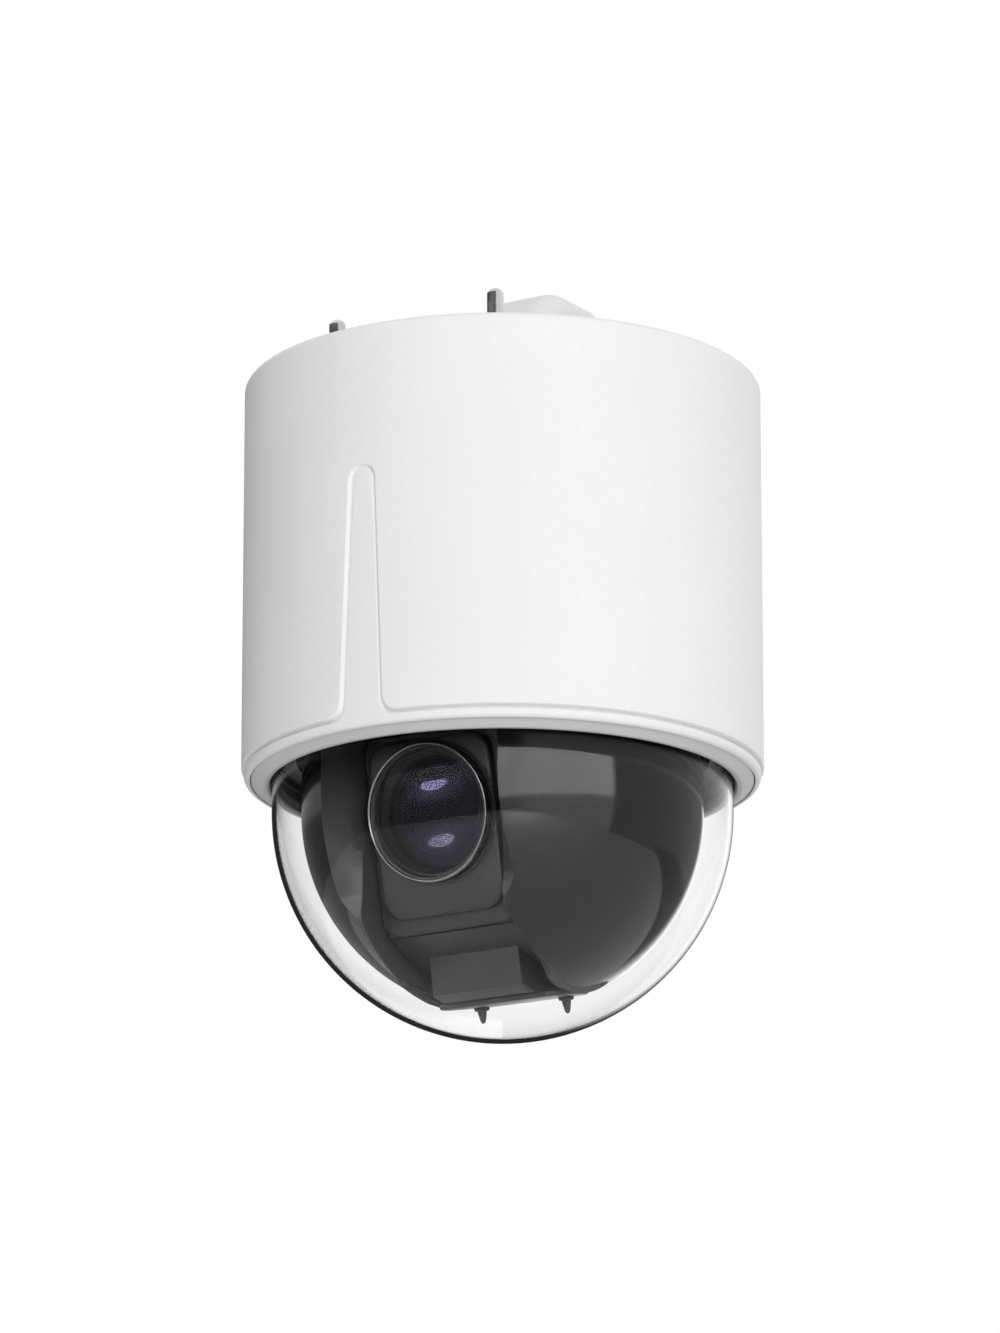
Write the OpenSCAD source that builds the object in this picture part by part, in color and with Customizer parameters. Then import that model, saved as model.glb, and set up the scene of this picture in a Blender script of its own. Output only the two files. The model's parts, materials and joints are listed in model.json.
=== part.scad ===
// Indoor pan-tilt-zoom dome camera: a white can-shaped housing with a clear lower dome,
// holding a motor-driven camera head. Origin at the centre of the top face, +Z up,
// the front of the camera faces -Y.

/* [Housing] */
// Outer diameter of the housing
body_d = 176; // [175:0.5:177]
// Height of the housing from its top face to its lower edge
body_h = 138.2; // [138:0.1:139]
// Wall thickness of the housing
wall = 3; // [2.8:0.1:3.2]
// Depth of the T-shaped recess at the front
recess_depth = 0.9; // [0.6:0.1:1.2]
// Distance from the top face to the upper edge of the recessed band
band_drop = 134.1; // [133:0.1:135]
// Distance from the top face to the rounded tip of the recess tongue
tongue_drop = 49; // [40:1:60]
// Half width of the tongue at its rounded tip
tongue_tip_r = 5; // [4:0.5:6]
// Half width of the tongue where it meets the band
tongue_foot = 8.2; // [7:0.2:10]

/* [Dome] */
// Outer diameter of the clear dome
dome_d = 155.2; // [154.8:0.1:155.4]
// Wall thickness of the dome
dome_wall = 2; // [1.8:0.1:2.2]
// Distance from the top face to the dome's centre, where the tilt axis is
axis_drop = 148.4; // [148:0.1:149]

/* [Camera head] */
// Outer diameter of the dark shroud
shroud_d = 135.4; // [134:0.2:136]
// Wall thickness of the shroud
shroud_wall = 2; // [1.6:0.1:2.4]
// Width of the slot that the camera looks through
slot_w = 55; // [55:0.5:56]
// Downward pitch of the lens at rest, in degrees
lens_pitch = 12; // [0:1:20]
// Outer diameter of the silver ring around the lens
bezel_d = 46.5; // [46:0.1:46.6]
// Distance from the tilt axis to the face of the silver ring
bezel_reach = 48.5; // [48:0.1:50]

/* [Top hardware] */
// Diameter of the mounting studs
stud_d = 5.5; // [5:0.1:6]
// Height of the studs above the top face
stud_h = 16; // [14:0.5:18]
// Spacing of the studs from side to side
stud_x = 63; // [60:1:66]
// Spacing of the studs from front to back
stud_y = 110; // [106:1:112]
// Width of the cable hood
hood_w = 30; // [28:1:32]
// Height of the cable hood above the top face
hood_h = 39; // [36:1:40]
// Diameter of the cable hole in the grommet
cable_d = 10; // [8:0.5:11]

/* [Drives] */
// Teeth on the large pan pulley
pan_teeth = 120; // [120:1:120]
// Teeth on the pan motor's pulley
pan_pinion_teeth = 20; // [20:1:20]
// Teeth on the large tilt pulley
tilt_teeth = 60; // [60:1:60]
// Teeth on the tilt motor's pulley
tilt_pinion_teeth = 18; // [18:1:18]
// Pitch of both toothed belts
belt_pitch = 2; // [2:0.1:2]

/* [Hidden] */
$fn = 96;
eps = 0.05;
fit = 0.05;
body_r = body_d / 2;
bore_r = body_r - wall;

// levels, measured down from the top face
flange_t = 3;
plate_t = 3;
plate_bottom = -flange_t - plate_t;
deck_top = -57;
deck_t = 3;
deck_bottom = deck_top - deck_t;
table_top = -84;
table_t = 4;
table_bottom = table_top - table_t;
axis_z = -axis_drop;

// top opening, plate and fasteners
opening_r = 72;
plate_r = bore_r - 0.4;
top_screw_ring = 78;
hood_y = 22;
cable_hole_r = 10;
post_x = 62;
post_y = 32;
board_z = -22;
board_t = 1.6;

// lower edge of the housing and the dome's clamp stack
edge_r = 2;
ring_r = bore_r - 0.3;
dome_r = dome_d / 2;
dome_bore = dome_r - dome_wall;
lip_r = dome_r + 0.8;
shoulder_z = -134.5;
seal_t = 0.8;
dome_flange_t = 2.5;
clamp_t = 2.5;
clamp_r = 82.5;
clamp_screw_ring = 80.9;
clamp_bottom = shoulder_z + seal_t + dome_flange_t;
clamp_top = clamp_bottom + clamp_t;

// pan drive
pan_r = pan_teeth * belt_pitch / (2 * PI);
pan_pinion_r = pan_pinion_teeth * belt_pitch / (2 * PI);
pan_motor_y = 60;
belt_w = 5;
belt_t = 1.5;
belt_gap = 0.35;
pulley_w = 7;
boss_depth = 14;
bearing_z = -72;
bearing_w = 10;
bearing_r = 24;
ball_ring = 19.25;
ball_r = 2.2;
hub_r = 14.4;
hub_bore = 8;
slip_r = 6;
flange_screw_ring = 11.5;

// tilt drive
tilt_r = tilt_teeth * belt_pitch / (2 * PI);
tilt_pinion_r = tilt_pinion_teeth * belt_pitch / (2 * PI);
tilt_motor_z = -107;
tilt_pulley_x = 37;
bracket_x = 44.7;
bracket_t = 1.5;
arm_x = 31;
arm_t = 3;
arm_half = 20;
shaft_r = 5;

// shroud
shroud_r = shroud_d / 2;
shroud_top = -124;
slot_half = slot_w / 2;

// camera block, measured from the tilt axis
case_half = 26;
case_h = 27;
case_front = -38;
case_back = 38;
case_wall = 2;
barrel_r = 22.6;
bezel_r = bezel_d / 2;
rod_pos = 17;
chin_half = 17.7;
chin_z = -62;
pin_x = 16.6;

// ---- shared shapes ----

// a cylinder standing on z = low and ending at z = high
module rod(r, low, high) {
    translate([0, 0, low]) cylinder(r = r, h = high - low);
}

// the same along the X axis
module rod_x(r, low, high) {
    translate([low, 0, 0]) rotate([0, 90, 0]) cylinder(r = r, h = high - low);
}

// the same along the Y axis
module rod_y(r, low, high) {
    translate([0, low, 0]) rotate([-90, 0, 0]) cylinder(r = r, h = high - low);
}

// a ring of revolution from r1 to r2 between two levels
module ring(r1, r2, low, high) {
    rotate_extrude() translate([r1, low]) square([r2 - r1, high - low]);
}

// a block between two corners
module block(low, high) {
    translate(low) cube(high - low);
}

// children at n places around a circle
module around(n, r, start = 0) {
    for (i = [0 : n - 1]) rotate(start + i * 360 / n) translate([r, 0, 0]) children();
}

// children at the four corners of a rectangle
module corners(x, y) {
    for (sx = [-1, 1], sy = [-1, 1]) translate([sx * x, sy * y, 0]) children();
}

// a rectangle with round corners
module round_rect(x1, y1, x2, y2, r) {
    translate([x1 + r, y1]) square([x2 - x1 - 2 * r, y2 - y1]);
    translate([x1, y1 + r]) square([x2 - x1, y2 - y1 - 2 * r]);
    for (x = [x1 + r, x2 - r], y = [y1 + r, y2 - r]) translate([x, y]) circle(r);
}

// a pan-head screw with its head's underside at z = 0, pointing down
module screw(r, length, head_r, head_h) {
    difference() {
        union() {
            rod(r, -length, 0);
            rod(head_r, 0, head_h);
        }
        rotate(30) translate([0, 0, head_h * 0.4]) cylinder(r = head_r * 0.5, h = head_h, $fn = 6);
    }
}

// places its children on the tilt axis, pitched with the lens; the lens looks along -Y
module tilted() {
    translate([0, 0, axis_z]) rotate([lens_pitch, 0, 0]) children();
}

// the outline of a belt around two pulleys, the second one at distance c along +Y
module belt_outline(r1, r2, c) {
    hull() {
        circle(r1, $fn = 64);
        translate([0, c]) circle(r2, $fn = 32);
    }
}

// a belt loop, standing on z = 0
module belt(r1, r2, c) {
    linear_extrude(belt_w) difference() {
        belt_outline(r1 + belt_gap + belt_t, r2 + belt_gap + belt_t, c);
        belt_outline(r1 + belt_gap, r2 + belt_gap, c);
    }
}

// ---- housing ----

// half section of the housing: wall, top flange, rounded rims, recessed band
module housing_section() {
    band_r = body_r - recess_depth;
    translate([bore_r, -band_drop]) square([wall, band_drop - edge_r]);
    translate([opening_r, -flange_t]) square([body_r - edge_r - opening_r, flange_t]);
    intersection() {
        translate([body_r - edge_r, -edge_r]) circle(edge_r);
        translate([body_r - edge_r, -edge_r]) square(edge_r);
    }
    translate([bore_r, -body_h + edge_r]) square([band_r - bore_r, body_h - edge_r - band_drop]);
    intersection() {
        translate([band_r - edge_r, -body_h + edge_r]) circle(edge_r);
        translate([bore_r, -body_h]) square([band_r - bore_r, edge_r]);
    }
    // bead that the dome ring's tabs snap over
    translate([bore_r - 0.9, -128.4]) square([1, 1]);
}

// outline of the tongue, as seen from the front
module tongue_outline() {
    tip = -tongue_drop - tongue_tip_r;
    fillet = 6;
    foot = -band_drop;
    lean = atan((tongue_foot - tongue_tip_r) / (tip - foot));
    translate([0, tip]) circle(tongue_tip_r);
    polygon([
        [-tongue_tip_r * cos(lean), tip - tongue_tip_r * sin(lean)],
        [tongue_tip_r * cos(lean), tip - tongue_tip_r * sin(lean)],
        [tongue_foot, foot],
        [-tongue_foot, foot]]);
    for (side = [-1, 1]) difference() {
        translate([side > 0 ? tongue_foot - 1 : -tongue_foot - fillet, foot])
            square([fillet + 1, fillet]);
        translate([side * (tongue_foot + fillet), foot + fillet]) circle(fillet);
    }
}

module housing_shell() {
    color("white") difference() {
        rotate_extrude() housing_section();
        // tongue of the recess
        difference() {
            translate([0, -body_r + 10, 0]) rotate([90, 0, 0]) linear_extrude(20) tongue_outline();
            rod(body_r - recess_depth, -body_h, 0);
        }
        around(6, top_screw_ring) {
            rod(1.7, -flange_t - 1, 1);
            rod(3.3, -2, 1);
        }
    }
}

module top_plate() {
    color("gainsboro") difference() {
        rod(plate_r, plate_bottom, -flange_t);
        corners(stud_x / 2, stud_y / 2) rod(2.05, plate_bottom - 1, 0);
        corners(post_x, post_y) rod(2.05, plate_bottom - 1, 0);
        around(6, top_screw_ring) rod(1.55, plate_bottom - 1, 0);
        translate([0, hood_y, 0]) rod(cable_hole_r, plate_bottom - 1, 0);
        hood_screw_places() rod(1.55, plate_bottom - 1, 0);
        // vent slots
        for (x = [-46, 46], y = [-16 : 8 : 16]) translate([x, y, 0])
            block([-9, -1.5, plate_bottom - 1], [9, 1.5, 0]);
    }
}

// the four fixing points of the cable hood's foot
module hood_screw_places() {
    for (x = [-hood_w / 2 - 2.6, hood_w / 2 + 2.6], y = [-14, 12]) translate([x, hood_y + y, 0])
        children();
}

module top_screws() {
    color("silver") {
        around(6, top_screw_ring) translate([0, 0, -2]) screw(1.5, 4, 3, 1.7);
        hood_screw_places() screw(1.5, 5.5, 2.3, 1.5);
    }
}

module mounting_studs() {
    r = stud_d / 2;
    tip = 2;
    color("silver") corners(stud_x / 2, stud_y / 2) {
        rod(r, -flange_t, stud_h - tip);
        translate([0, 0, stud_h - tip]) intersection() {
            translate([0, 0, tip - 3]) sphere(3);
            rod(r, 0, tip);
        }
        rod(2, -11, -flange_t + eps);
    }
}

module stud_nuts() {
    color("silver") corners(stud_x / 2, stud_y / 2) difference() {
        translate([0, 0, plate_bottom - 3.2]) cylinder(r = 4.6, h = 3.2, $fn = 6);
        rod(2.05, plate_bottom - 4, 0);
    }
}

// side outline of the cable hood: a sloping front that rolls over to a flat top
module hood_outline(grow) {
    r = 16 + grow;
    front = hood_y - 17 - grow;
    back = hood_y + 19;
    top = hood_h + grow;
    translate([front + r, top - r]) circle(r);
    translate([front + r, -1]) square([back - front - r, top + 1]);
    translate([front, -1]) square([r, top + 1 - r]);
}

// block with its two upper edges rounded, the length of the hood
module hood_envelope(half, top, r) {
    translate([0, hood_y + 25, 0]) rotate([90, 0, 0]) linear_extrude(60) {
        translate([-half, -1]) square([2 * half, top + 1 - r]);
        translate([-half + r, -1]) square([2 * half - 2 * r, top + 1]);
        for (side = [-1, 1]) translate([side * (half - r), top - r]) circle(r);
    }
}

module cable_hood() {
    t = 2.2;
    half = hood_w / 2;
    color("whitesmoke") difference() {
        union() {
            intersection() {
                translate([-half, 0, 0]) rotate([90, 0, 90]) linear_extrude(hood_w) hood_outline(0);
                hood_envelope(half, hood_h, 8);
            }
            // foot flange, seated on the plate
            translate([0, 0, -flange_t]) linear_extrude(flange_t)
                round_rect(-half - 5, hood_y - 22, half + 5, hood_y + 19, 5);
        }
        // cavity
        translate([0, 0, -flange_t - 1]) linear_extrude(flange_t + 1 + eps)
            round_rect(-half + t, hood_y - 17 + t, half - t, hood_y + 19 - t, 3);
        intersection() {
            translate([-half + t, 0, 0]) rotate([90, 0, 90])
                linear_extrude(hood_w - 2 * t) difference() {
                    hood_outline(-t);
                    translate([hood_y + 19 - t, -1]) square([10, hood_h + 2]);
                }
            hood_envelope(half - t, hood_h - t, 8 - t);
        }
        // cable hole through the back wall
        translate([0, hood_y, hood_h - 17]) rod_y(8, 12, 25);
        hood_screw_places() rod(1.6, -flange_t - 1, 1);
    }
}

module cable_grommet() {
    back = hood_y + 19;
    color("dimgray") translate([0, 0, hood_h - 17]) rotate([-90, 0, 0]) rotate_extrude()
        difference() {
            union() {
                translate([0, back - 5.5]) square([10, 3]);
                translate([0, back - 2.5]) square([7.9, 3]);
                translate([0, back + 0.3]) square([10, 2.2]);
            }
            translate([-1, back - 10]) square([1 + cable_d / 2, 20]);
        }
}

module safety_eye() {
    color("silver") translate([-40, 40, -flange_t]) difference() {
        union() {
            block([-1.5, -8, 0], [1.5, 8, 8]);
            translate([0, 0, 8]) rod_x(6, -1.5, 1.5);
            block([-6, -8, 0], [6, 8, 2]);
        }
        translate([0, 0, 8]) rod_x(3, -2, 2);
    }
}

// ---- dome and its ring ----

// half section of the ring: a shallow underside, a shoulder for the dome and an upright wall
module dome_ring_section() {
    polygon([[lip_r, shoulder_z], [ring_r, shoulder_z], [ring_r, -body_h + 0.4],
        [lip_r + 2.2, -140.3], [lip_r + 0.8, -140.3], [lip_r, -139.6]]);
    translate([clamp_r + 0.4, shoulder_z - eps]) square([1, 9 + eps]);
}

module dome_ring() {
    tab_z = shoulder_z + 7.3;
    color("white") difference() {
        union() {
            rotate_extrude() dome_ring_section();
            // snap tabs above the housing's bead
            for (i = [0 : 3]) rotate(i * 90 + 40)
                rotate_extrude(angle = 10) translate([clamp_r + 1.2, tab_z]) square([0.9, 1.3]);
        }
        around(6, clamp_screw_ring, 30) rod(1.15, shoulder_z - 3, shoulder_z + 1);
    }
}

module dome_seal() {
    color("black") difference() {
        rotate_extrude() {
            translate([dome_r + 0.2, shoulder_z]) square([clamp_r - dome_r - 0.2, seal_t]);
            translate([dome_r + 0.2, -139.4]) square([0.5, 139.4 + shoulder_z + eps]);
        }
        around(6, clamp_screw_ring, 30) rod(1.4, shoulder_z - 1, shoulder_z + seal_t + 1);
    }
}

// half section of a hemispherical cup with a short straight wall above its centre
module cup_section(r, top) {
    translate([0, axis_z]) intersection() {
        circle(r);
        translate([0, -r]) square([r, r]);
    }
    translate([0, axis_z]) square([r, top - axis_z]);
}

module dome_bubble() {
    low = shoulder_z + seal_t;
    color([0.85, 0.9, 0.92, 0.3]) difference() {
        rotate_extrude() difference() {
            union() {
                cup_section(dome_r, low + dome_flange_t);
                translate([0, low]) square([clamp_r, dome_flange_t]);
            }
            cup_section(dome_bore, low + dome_flange_t + 1);
        }
        around(6, clamp_screw_ring, 30) rod(1.4, low - 1, low + dome_flange_t + 1);
    }
}

module dome_clamp_ring() {
    color("dimgray") difference() {
        ring(dome_bore, clamp_r, clamp_bottom, clamp_top);
        around(6, clamp_screw_ring, 30) rod(1.4, clamp_bottom - 1, clamp_top + 1);
    }
}

module dome_clamp_screws() {
    color("silver") around(6, clamp_screw_ring, 30) translate([0, 0, clamp_top])
        screw(1.1, clamp_top - shoulder_z + 2.5, 1.9, 1.4);
}

module trim_ring() {
    color("lightgray") rotate_extrude() {
        translate([69.6, clamp_bottom]) square([4.3, 1.4]);
        translate([73.8, clamp_bottom]) square([1.4, clamp_t + 1.3]);
        translate([73.8, clamp_top]) square([4.6, 1.3]);
    }
}

// ---- chassis ----

module deck_posts() {
    color("goldenrod") corners(post_x, post_y) difference() {
        union() {
            translate([0, 0, deck_top]) cylinder(r = 4.4, h = plate_bottom - deck_top, $fn = 6);
            rod(2, plate_bottom - eps, -flange_t - 0.3);
        }
        rod(1.55, deck_top - 1, deck_top + 9);
    }
}

module chassis_deck() {
    color("lightsteelblue") difference() {
        union() {
            rod(80, deck_bottom, deck_top);
            rod(bearing_r + 4, deck_bottom - boss_depth, deck_bottom + eps);
        }
        rod(bearing_r + fit, deck_bottom - boss_depth - 1, deck_bottom - 2);
        rod(ball_ring + 1.6, deck_bottom - boss_depth - 1, deck_bottom - 1);
        rod(hub_bore + 4, deck_bottom - boss_depth - 1, deck_top + 1);
        corners(post_x, post_y) rod(2.1, deck_bottom - 1, deck_top + 1);
        // motor pilot hole and screw holes
        translate([0, pan_motor_y, 0]) {
            rod(11.1, deck_bottom - 1, deck_top + 1);
            corners(13, 13) rod(1.7, deck_bottom - 1, deck_top + 1);
        }
        // cable windows
        for (a = [0, 180, 230, 310]) rotate(a) translate([50, 0, 0])
            rod(12, deck_bottom - 1, deck_top + 1);
    }
}

module deck_screws() {
    color("silver") translate([0, 0, deck_bottom]) mirror([0, 0, 1]) {
        corners(post_x, post_y) screw(1.5, deck_t + 4, 3, 2);
        translate([0, pan_motor_y, 0]) corners(13, 13) screw(1.5, deck_t + 4, 3, 2);
    }
}

module board_spacers() {
    color("goldenrod") for (x = [-44, 44], y = [-38, 30]) translate([x, y, 0])
        rod(2.5, board_z + board_t, plate_bottom);
}

module main_board() {
    top = board_z + board_t;
    color("darkgreen") {
        block([-50, -45, board_z], [50, 36, top]);
        // processor, memory, connectors and capacitors
        block([-12, -20, top - eps], [12, 4, top + 2]);
        for (x = [-30, 20]) block([x, -14, top - eps], [x + 11, 0, top + 1.4]);
        block([-38, 12, top - eps], [-22, 33, top + 12]);
        block([22, 16, top - eps], [40, 33, top + 9]);
        for (x = [-36 : 12 : 0]) translate([x, -34, 0]) rod(4, top - eps, top + 10);
        for (x = [14 : 9 : 32]) block([x, -42, top - eps], [x + 6, -30, top + 6]);
        block([-30, -8, board_z - 2], [-4, 14, board_z + eps]);
        for (y = [-30 : 12 : 18]) block([26, y, board_z - 1.5], [40, y + 7, board_z + eps]);
    }
}

module slip_ring_body() {
    color("darkslategray") difference() {
        union() {
            rod(18, deck_top, deck_top + 3);
            rod(12, deck_top + 3 - eps, deck_top + 24);
        }
        rod(slip_r + 0.3, deck_top - 1, deck_top + 19);
    }
}

module pan_bearing_outer() {
    groove = 0.12;
    color("lightgray") rotate_extrude() difference() {
        translate([ball_ring + 1.4, bearing_z]) square([bearing_r - ball_ring - 1.4, bearing_w]);
        translate([ball_ring, bearing_z + bearing_w / 2]) circle(ball_r + groove);
    }
}

module pan_bearing_inner() {
    groove = 0.12;
    color("lightgray") rotate_extrude() difference() {
        translate([hub_r + fit, bearing_z]) square([ball_ring - 1.4 - hub_r - fit, bearing_w]);
        translate([ball_ring, bearing_z + bearing_w / 2]) circle(ball_r + groove);
    }
}

module pan_bearing_balls() {
    color("silver") around(16, ball_ring) translate([0, 0, bearing_z + bearing_w / 2])
        sphere(ball_r, $fn = 48);
}

module pan_motor() {
    half = 17.5;
    color("dimgray") translate([0, pan_motor_y, 0]) difference() {
        union() {
            translate([0, 0, deck_top]) linear_extrude(5) round_rect(-half, -half, half, half, 4);
            translate([0, 0, deck_top + 5 - eps]) linear_extrude(16 + 2 * eps)
                round_rect(-half + 0.6, -half + 0.6, half - 0.6, half - 0.6, 6);
            translate([0, 0, deck_top + 21]) linear_extrude(5) round_rect(-half, -half, half, half, 4);
            rod(11, deck_top - 2, deck_top + eps);
        }
        rod(2.6, deck_top - 3, deck_top + 2);
        corners(13, 13) rod(1.55, deck_top - 1, deck_top + 4.5);
    }
}

module pan_belt() {
    color("black") translate([0, 0, table_top + 1]) belt(pan_r, pan_pinion_r, pan_motor_y);
}

// ---- pan motor pulley ----

module pan_pinion() {
    low = table_top + 0.4;
    high = table_top + pulley_w;
    color("silver") translate([0, pan_motor_y, 0]) {
        rod(2.5, low, deck_top);
        difference() {
            rod(pan_pinion_r, low, high);
            around(pan_pinion_teeth, pan_pinion_r) rod(0.45, low + 0.4, high - 0.8);
        }
        rod(8.2, low, low + 0.4);
        rod(8.2, high - 0.8, high);
    }
}

// ---- pan head ----

module turntable() {
    color("gray") difference() {
        rod(66, table_bottom, table_top);
        rod(hub_bore, table_bottom - 1, table_top + 1);
        // holes for the slip ring's screws, and cable windows
        around(3, flange_screw_ring, 90) rod(1.3, table_bottom - 1, table_top + 1);
        for (side = [-1, 1]) translate([0, side * 50, 0]) rod(9, table_bottom - 1, table_top + 1);
        // screw holes for the yokes, the motor bracket and the pulley
        for (side = [-1, 1], y = [-12, 12]) translate([side * 39, y, 0])
            rod(1.55, table_bottom - 1, table_top + 1);
        for (y = [-10, 10]) translate([53, y, 0]) rod(1.55, table_bottom - 1, table_top + 1);
    }
}

module pan_hub() {
    color("lightgray") difference() {
        union() {
            rod(hub_r, table_top, bearing_z + bearing_w - 0.5);
            rod(hub_r + 1.5, table_top, bearing_z);
        }
        rod(hub_bore, table_top - 1, deck_top);
    }
}

module pan_pulley() {
    color("silver") difference() {
        union() {
            rod(pan_r, table_top, table_top + pulley_w);
            rod(pan_r + 2, table_top + pulley_w - 1, table_top + pulley_w);
        }
        rod(hub_r + 1.6, table_top - 1, table_top + pulley_w + 1);
        around(6, 28) rod(6, table_top - 1, table_top + pulley_w + 1);
        around(pan_teeth / 2, pan_r) rod(0.4, table_top - 1, table_top + pulley_w - 1);
    }
}

module slip_ring_rotor() {
    color("goldenrod") {
        rod(slip_r, table_bottom - 3 + eps, deck_top + 17);
        difference() {
            ring(slip_r - eps, 14.5, table_bottom - 3, table_bottom);
            around(3, flange_screw_ring, 90) rod(1.3, table_bottom - 4, table_bottom + 1);
        }
    }
}

// one arm of the yoke: a plate with a round lower end and a foot under the turntable
module yoke_arm(side) {
    difference() {
        union() {
            if (side > 0) block([arm_x, -arm_half, axis_z], [arm_x + arm_t, arm_half, table_bottom]);
            if (side < 0) block([-arm_x - arm_t, -arm_half, axis_z], [-arm_x, arm_half, table_bottom]);
            translate([side > 0 ? arm_x : -arm_x - arm_t, 0, axis_z]) rod_x(arm_half, 0, arm_t);
            if (side > 0) block([arm_x, -arm_half, table_bottom - 3], [44, arm_half, table_bottom]);
            if (side < 0) block([-44, -arm_half, table_bottom - 3], [-arm_x, arm_half, table_bottom]);
        }
        translate([side * arm_x, 0, axis_z]) rod_x(7, -5, 5);
        for (y = [-12, 12]) translate([side * 39, y, 0]) rod(1.7, table_bottom - 4, table_bottom + 1);
        for (y = [-13, 13]) translate([side * arm_x, y, axis_z - 6]) rod_x(1.3, -5, 5);
    }
}

module yoke_left() {
    color("gray") yoke_arm(-1);
}

module yoke_right() {
    color("gray") yoke_arm(1);
}

module yoke_screws() {
    color("silver") {
        for (side = [-1, 1], y = [-12, 12]) translate([side * 39, y, table_bottom - 3])
            mirror([0, 0, 1]) screw(1.5, 6.5, 2.8, 1.8);
        for (y = [-10, 10]) translate([53, y, table_bottom - 3])
            mirror([0, 0, 1]) screw(1.5, 6.5, 2.8, 1.8);
    }
}

// one half of the shroud: a hollow cheek, open at the top, with a flat wall towards the slot
module shroud_half(side) {
    inner = slot_half + shroud_wall;
    big = 200;
    difference() {
        intersection() {
            rotate_extrude() cup_section(shroud_r, shroud_top);
            translate([side > 0 ? slot_half : -slot_half - big, -big / 2, -big])
                cube([big, big, big]);
        }
        intersection() {
            rotate_extrude() cup_section(shroud_r - shroud_wall, shroud_top + 1);
            translate([side > 0 ? inner : -inner - big, -big / 2, -big]) cube([big, big, big]);
        }
        translate([side * slot_half, 0, axis_z]) rod_x(9.5, -5, 5);
        for (y = [-13, 13]) translate([side * slot_half, y, axis_z - 6]) rod_x(1.3, -5, 5);
    }
    // spacer bosses that carry the cheek on its yoke arm
    for (y = [-13, 13]) translate([0, y, axis_z - 6]) difference() {
        rod_x(3, side > 0 ? inner - eps : -arm_x, side > 0 ? arm_x : -inner + eps);
        rod_x(1.3, -60, 60);
    }
}

module shroud_left() {
    color([0.16, 0.16, 0.17]) shroud_half(-1);
}

module shroud_right() {
    color([0.16, 0.16, 0.17]) shroud_half(1);
}

module head_screws() {
    length = 6;
    color("silver") {
        // the cheeks on the yoke
        for (side = [-1, 1], y = [-13, 13])
            translate([side * (arm_x + arm_t), y, axis_z - 6]) rotate([0, side * 90, 0])
                screw(1.2, length, 2.4, 1.5);
        // the tilt motor on its bracket
        for (y = [-11, 11]) translate([bracket_x, y, tilt_motor_z]) rotate([0, -90, 0])
            screw(1.2, length, 2.4, 1.3);
        // the slip ring under the turntable
        around(3, flange_screw_ring, 90) translate([0, 0, table_bottom - 3]) mirror([0, 0, 1])
            screw(1.2, length, 2.4, 1.5);
    }
}

module tilt_bushes() {
    color("goldenrod") for (side = [-1, 1]) translate([0, 0, axis_z]) rotate([0, side * 90, 0])
        rotate_extrude() {
            translate([shaft_r + fit, arm_x - 0.6]) square([7 - fit - shaft_r - fit, arm_t + 0.6]);
            translate([shaft_r + fit, arm_x + arm_t]) square([3.8, 1.2]);
        }
}

module tilt_motor() {
    face = bracket_x + bracket_t;
    color("dimgray") translate([0, 0, tilt_motor_z]) difference() {
        union() {
            rod_x(15, face, face + 14.5);
            rod_x(5, face - 2, face + eps);
        }
        rod_x(1.6, face - 3, face + 2);
        for (y = [-11, 11]) translate([0, y, 0]) rod_x(1.25, face - 1, face + 5);
    }
}

module tilt_motor_bracket() {
    low = bracket_x;
    color("lightsteelblue") difference() {
        union() {
            block([low, -16, tilt_motor_z - 15], [low + bracket_t, 16, table_bottom]);
            block([low, -16, table_bottom - 3], [58, 16, table_bottom]);
        }
        translate([0, 0, tilt_motor_z]) {
            rod_x(5.1, low - 1, low + 3);
            for (y = [-11, 11]) translate([0, y, 0]) rod_x(1.3, low - 1, low + 3);
        }
        for (y = [-10, 10]) translate([53, y, 0]) rod(1.7, table_bottom - 4, table_bottom + 1);
    }
}

module tilt_belt() {
    color("black") translate([tilt_pulley_x + 0.8, 0, axis_z]) rotate([90, 0, 90])
        belt(tilt_r, tilt_pinion_r, tilt_motor_z - axis_z);
}

module head_board() {
    face = -arm_x - arm_t;
    color("darkgreen") {
        block([face - 4.6, -18, -120], [face - 3, 18, -95]);
        for (y = [-13, 13], z = [-116, -99]) translate([0, y, z]) rod_x(2.2, face - 3 - eps, face);
        block([face - 6.6, -8, -112], [face - 4.6 + eps, 6, -98]);
        block([face - 9, 9, -117], [face - 4.6 + eps, 15, -103]);
        for (z = [-116, -108, -100]) block([face - 6, -15, z], [face - 4.6 + eps, -11, z + 4]);
    }
}

// ---- tilt motor pulley ----

module tilt_pinion() {
    x = tilt_pulley_x;
    color("silver") translate([0, 0, tilt_motor_z]) {
        rod_x(1.5, x, bracket_x + bracket_t + 1.3);
        difference() {
            rod_x(tilt_pinion_r, x, x + 6.6);
            for (i = [0 : tilt_pinion_teeth - 1]) rotate([i * 360 / tilt_pinion_teeth, 0, 0])
                translate([0, tilt_pinion_r, 0]) rod_x(0.45, x + 0.7, x + 5.9);
        }
        rod_x(7.4, x - 0.3, x + 0.5);
        rod_x(7.4, x + 6.1, x + 6.9);
    }
}

// ---- camera block, drawn on the tilt axis with the lens along -Y ----

module camera_case() {
    inner = case_half - case_wall;
    color([0.2, 0.2, 0.21]) tilted() difference() {
        block([-case_half, case_front, -case_h], [case_half, case_back, case_h]);
        block([-inner, case_front - 1, -case_h + case_wall], [inner, case_back + 1, case_h - case_wall]);
        // ventilation slots in the sides
        for (y = [12 : 5 : 32]) block([-case_half - 1, y, -14], [case_half + 1, y + 2, 14]);
    }
}

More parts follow.
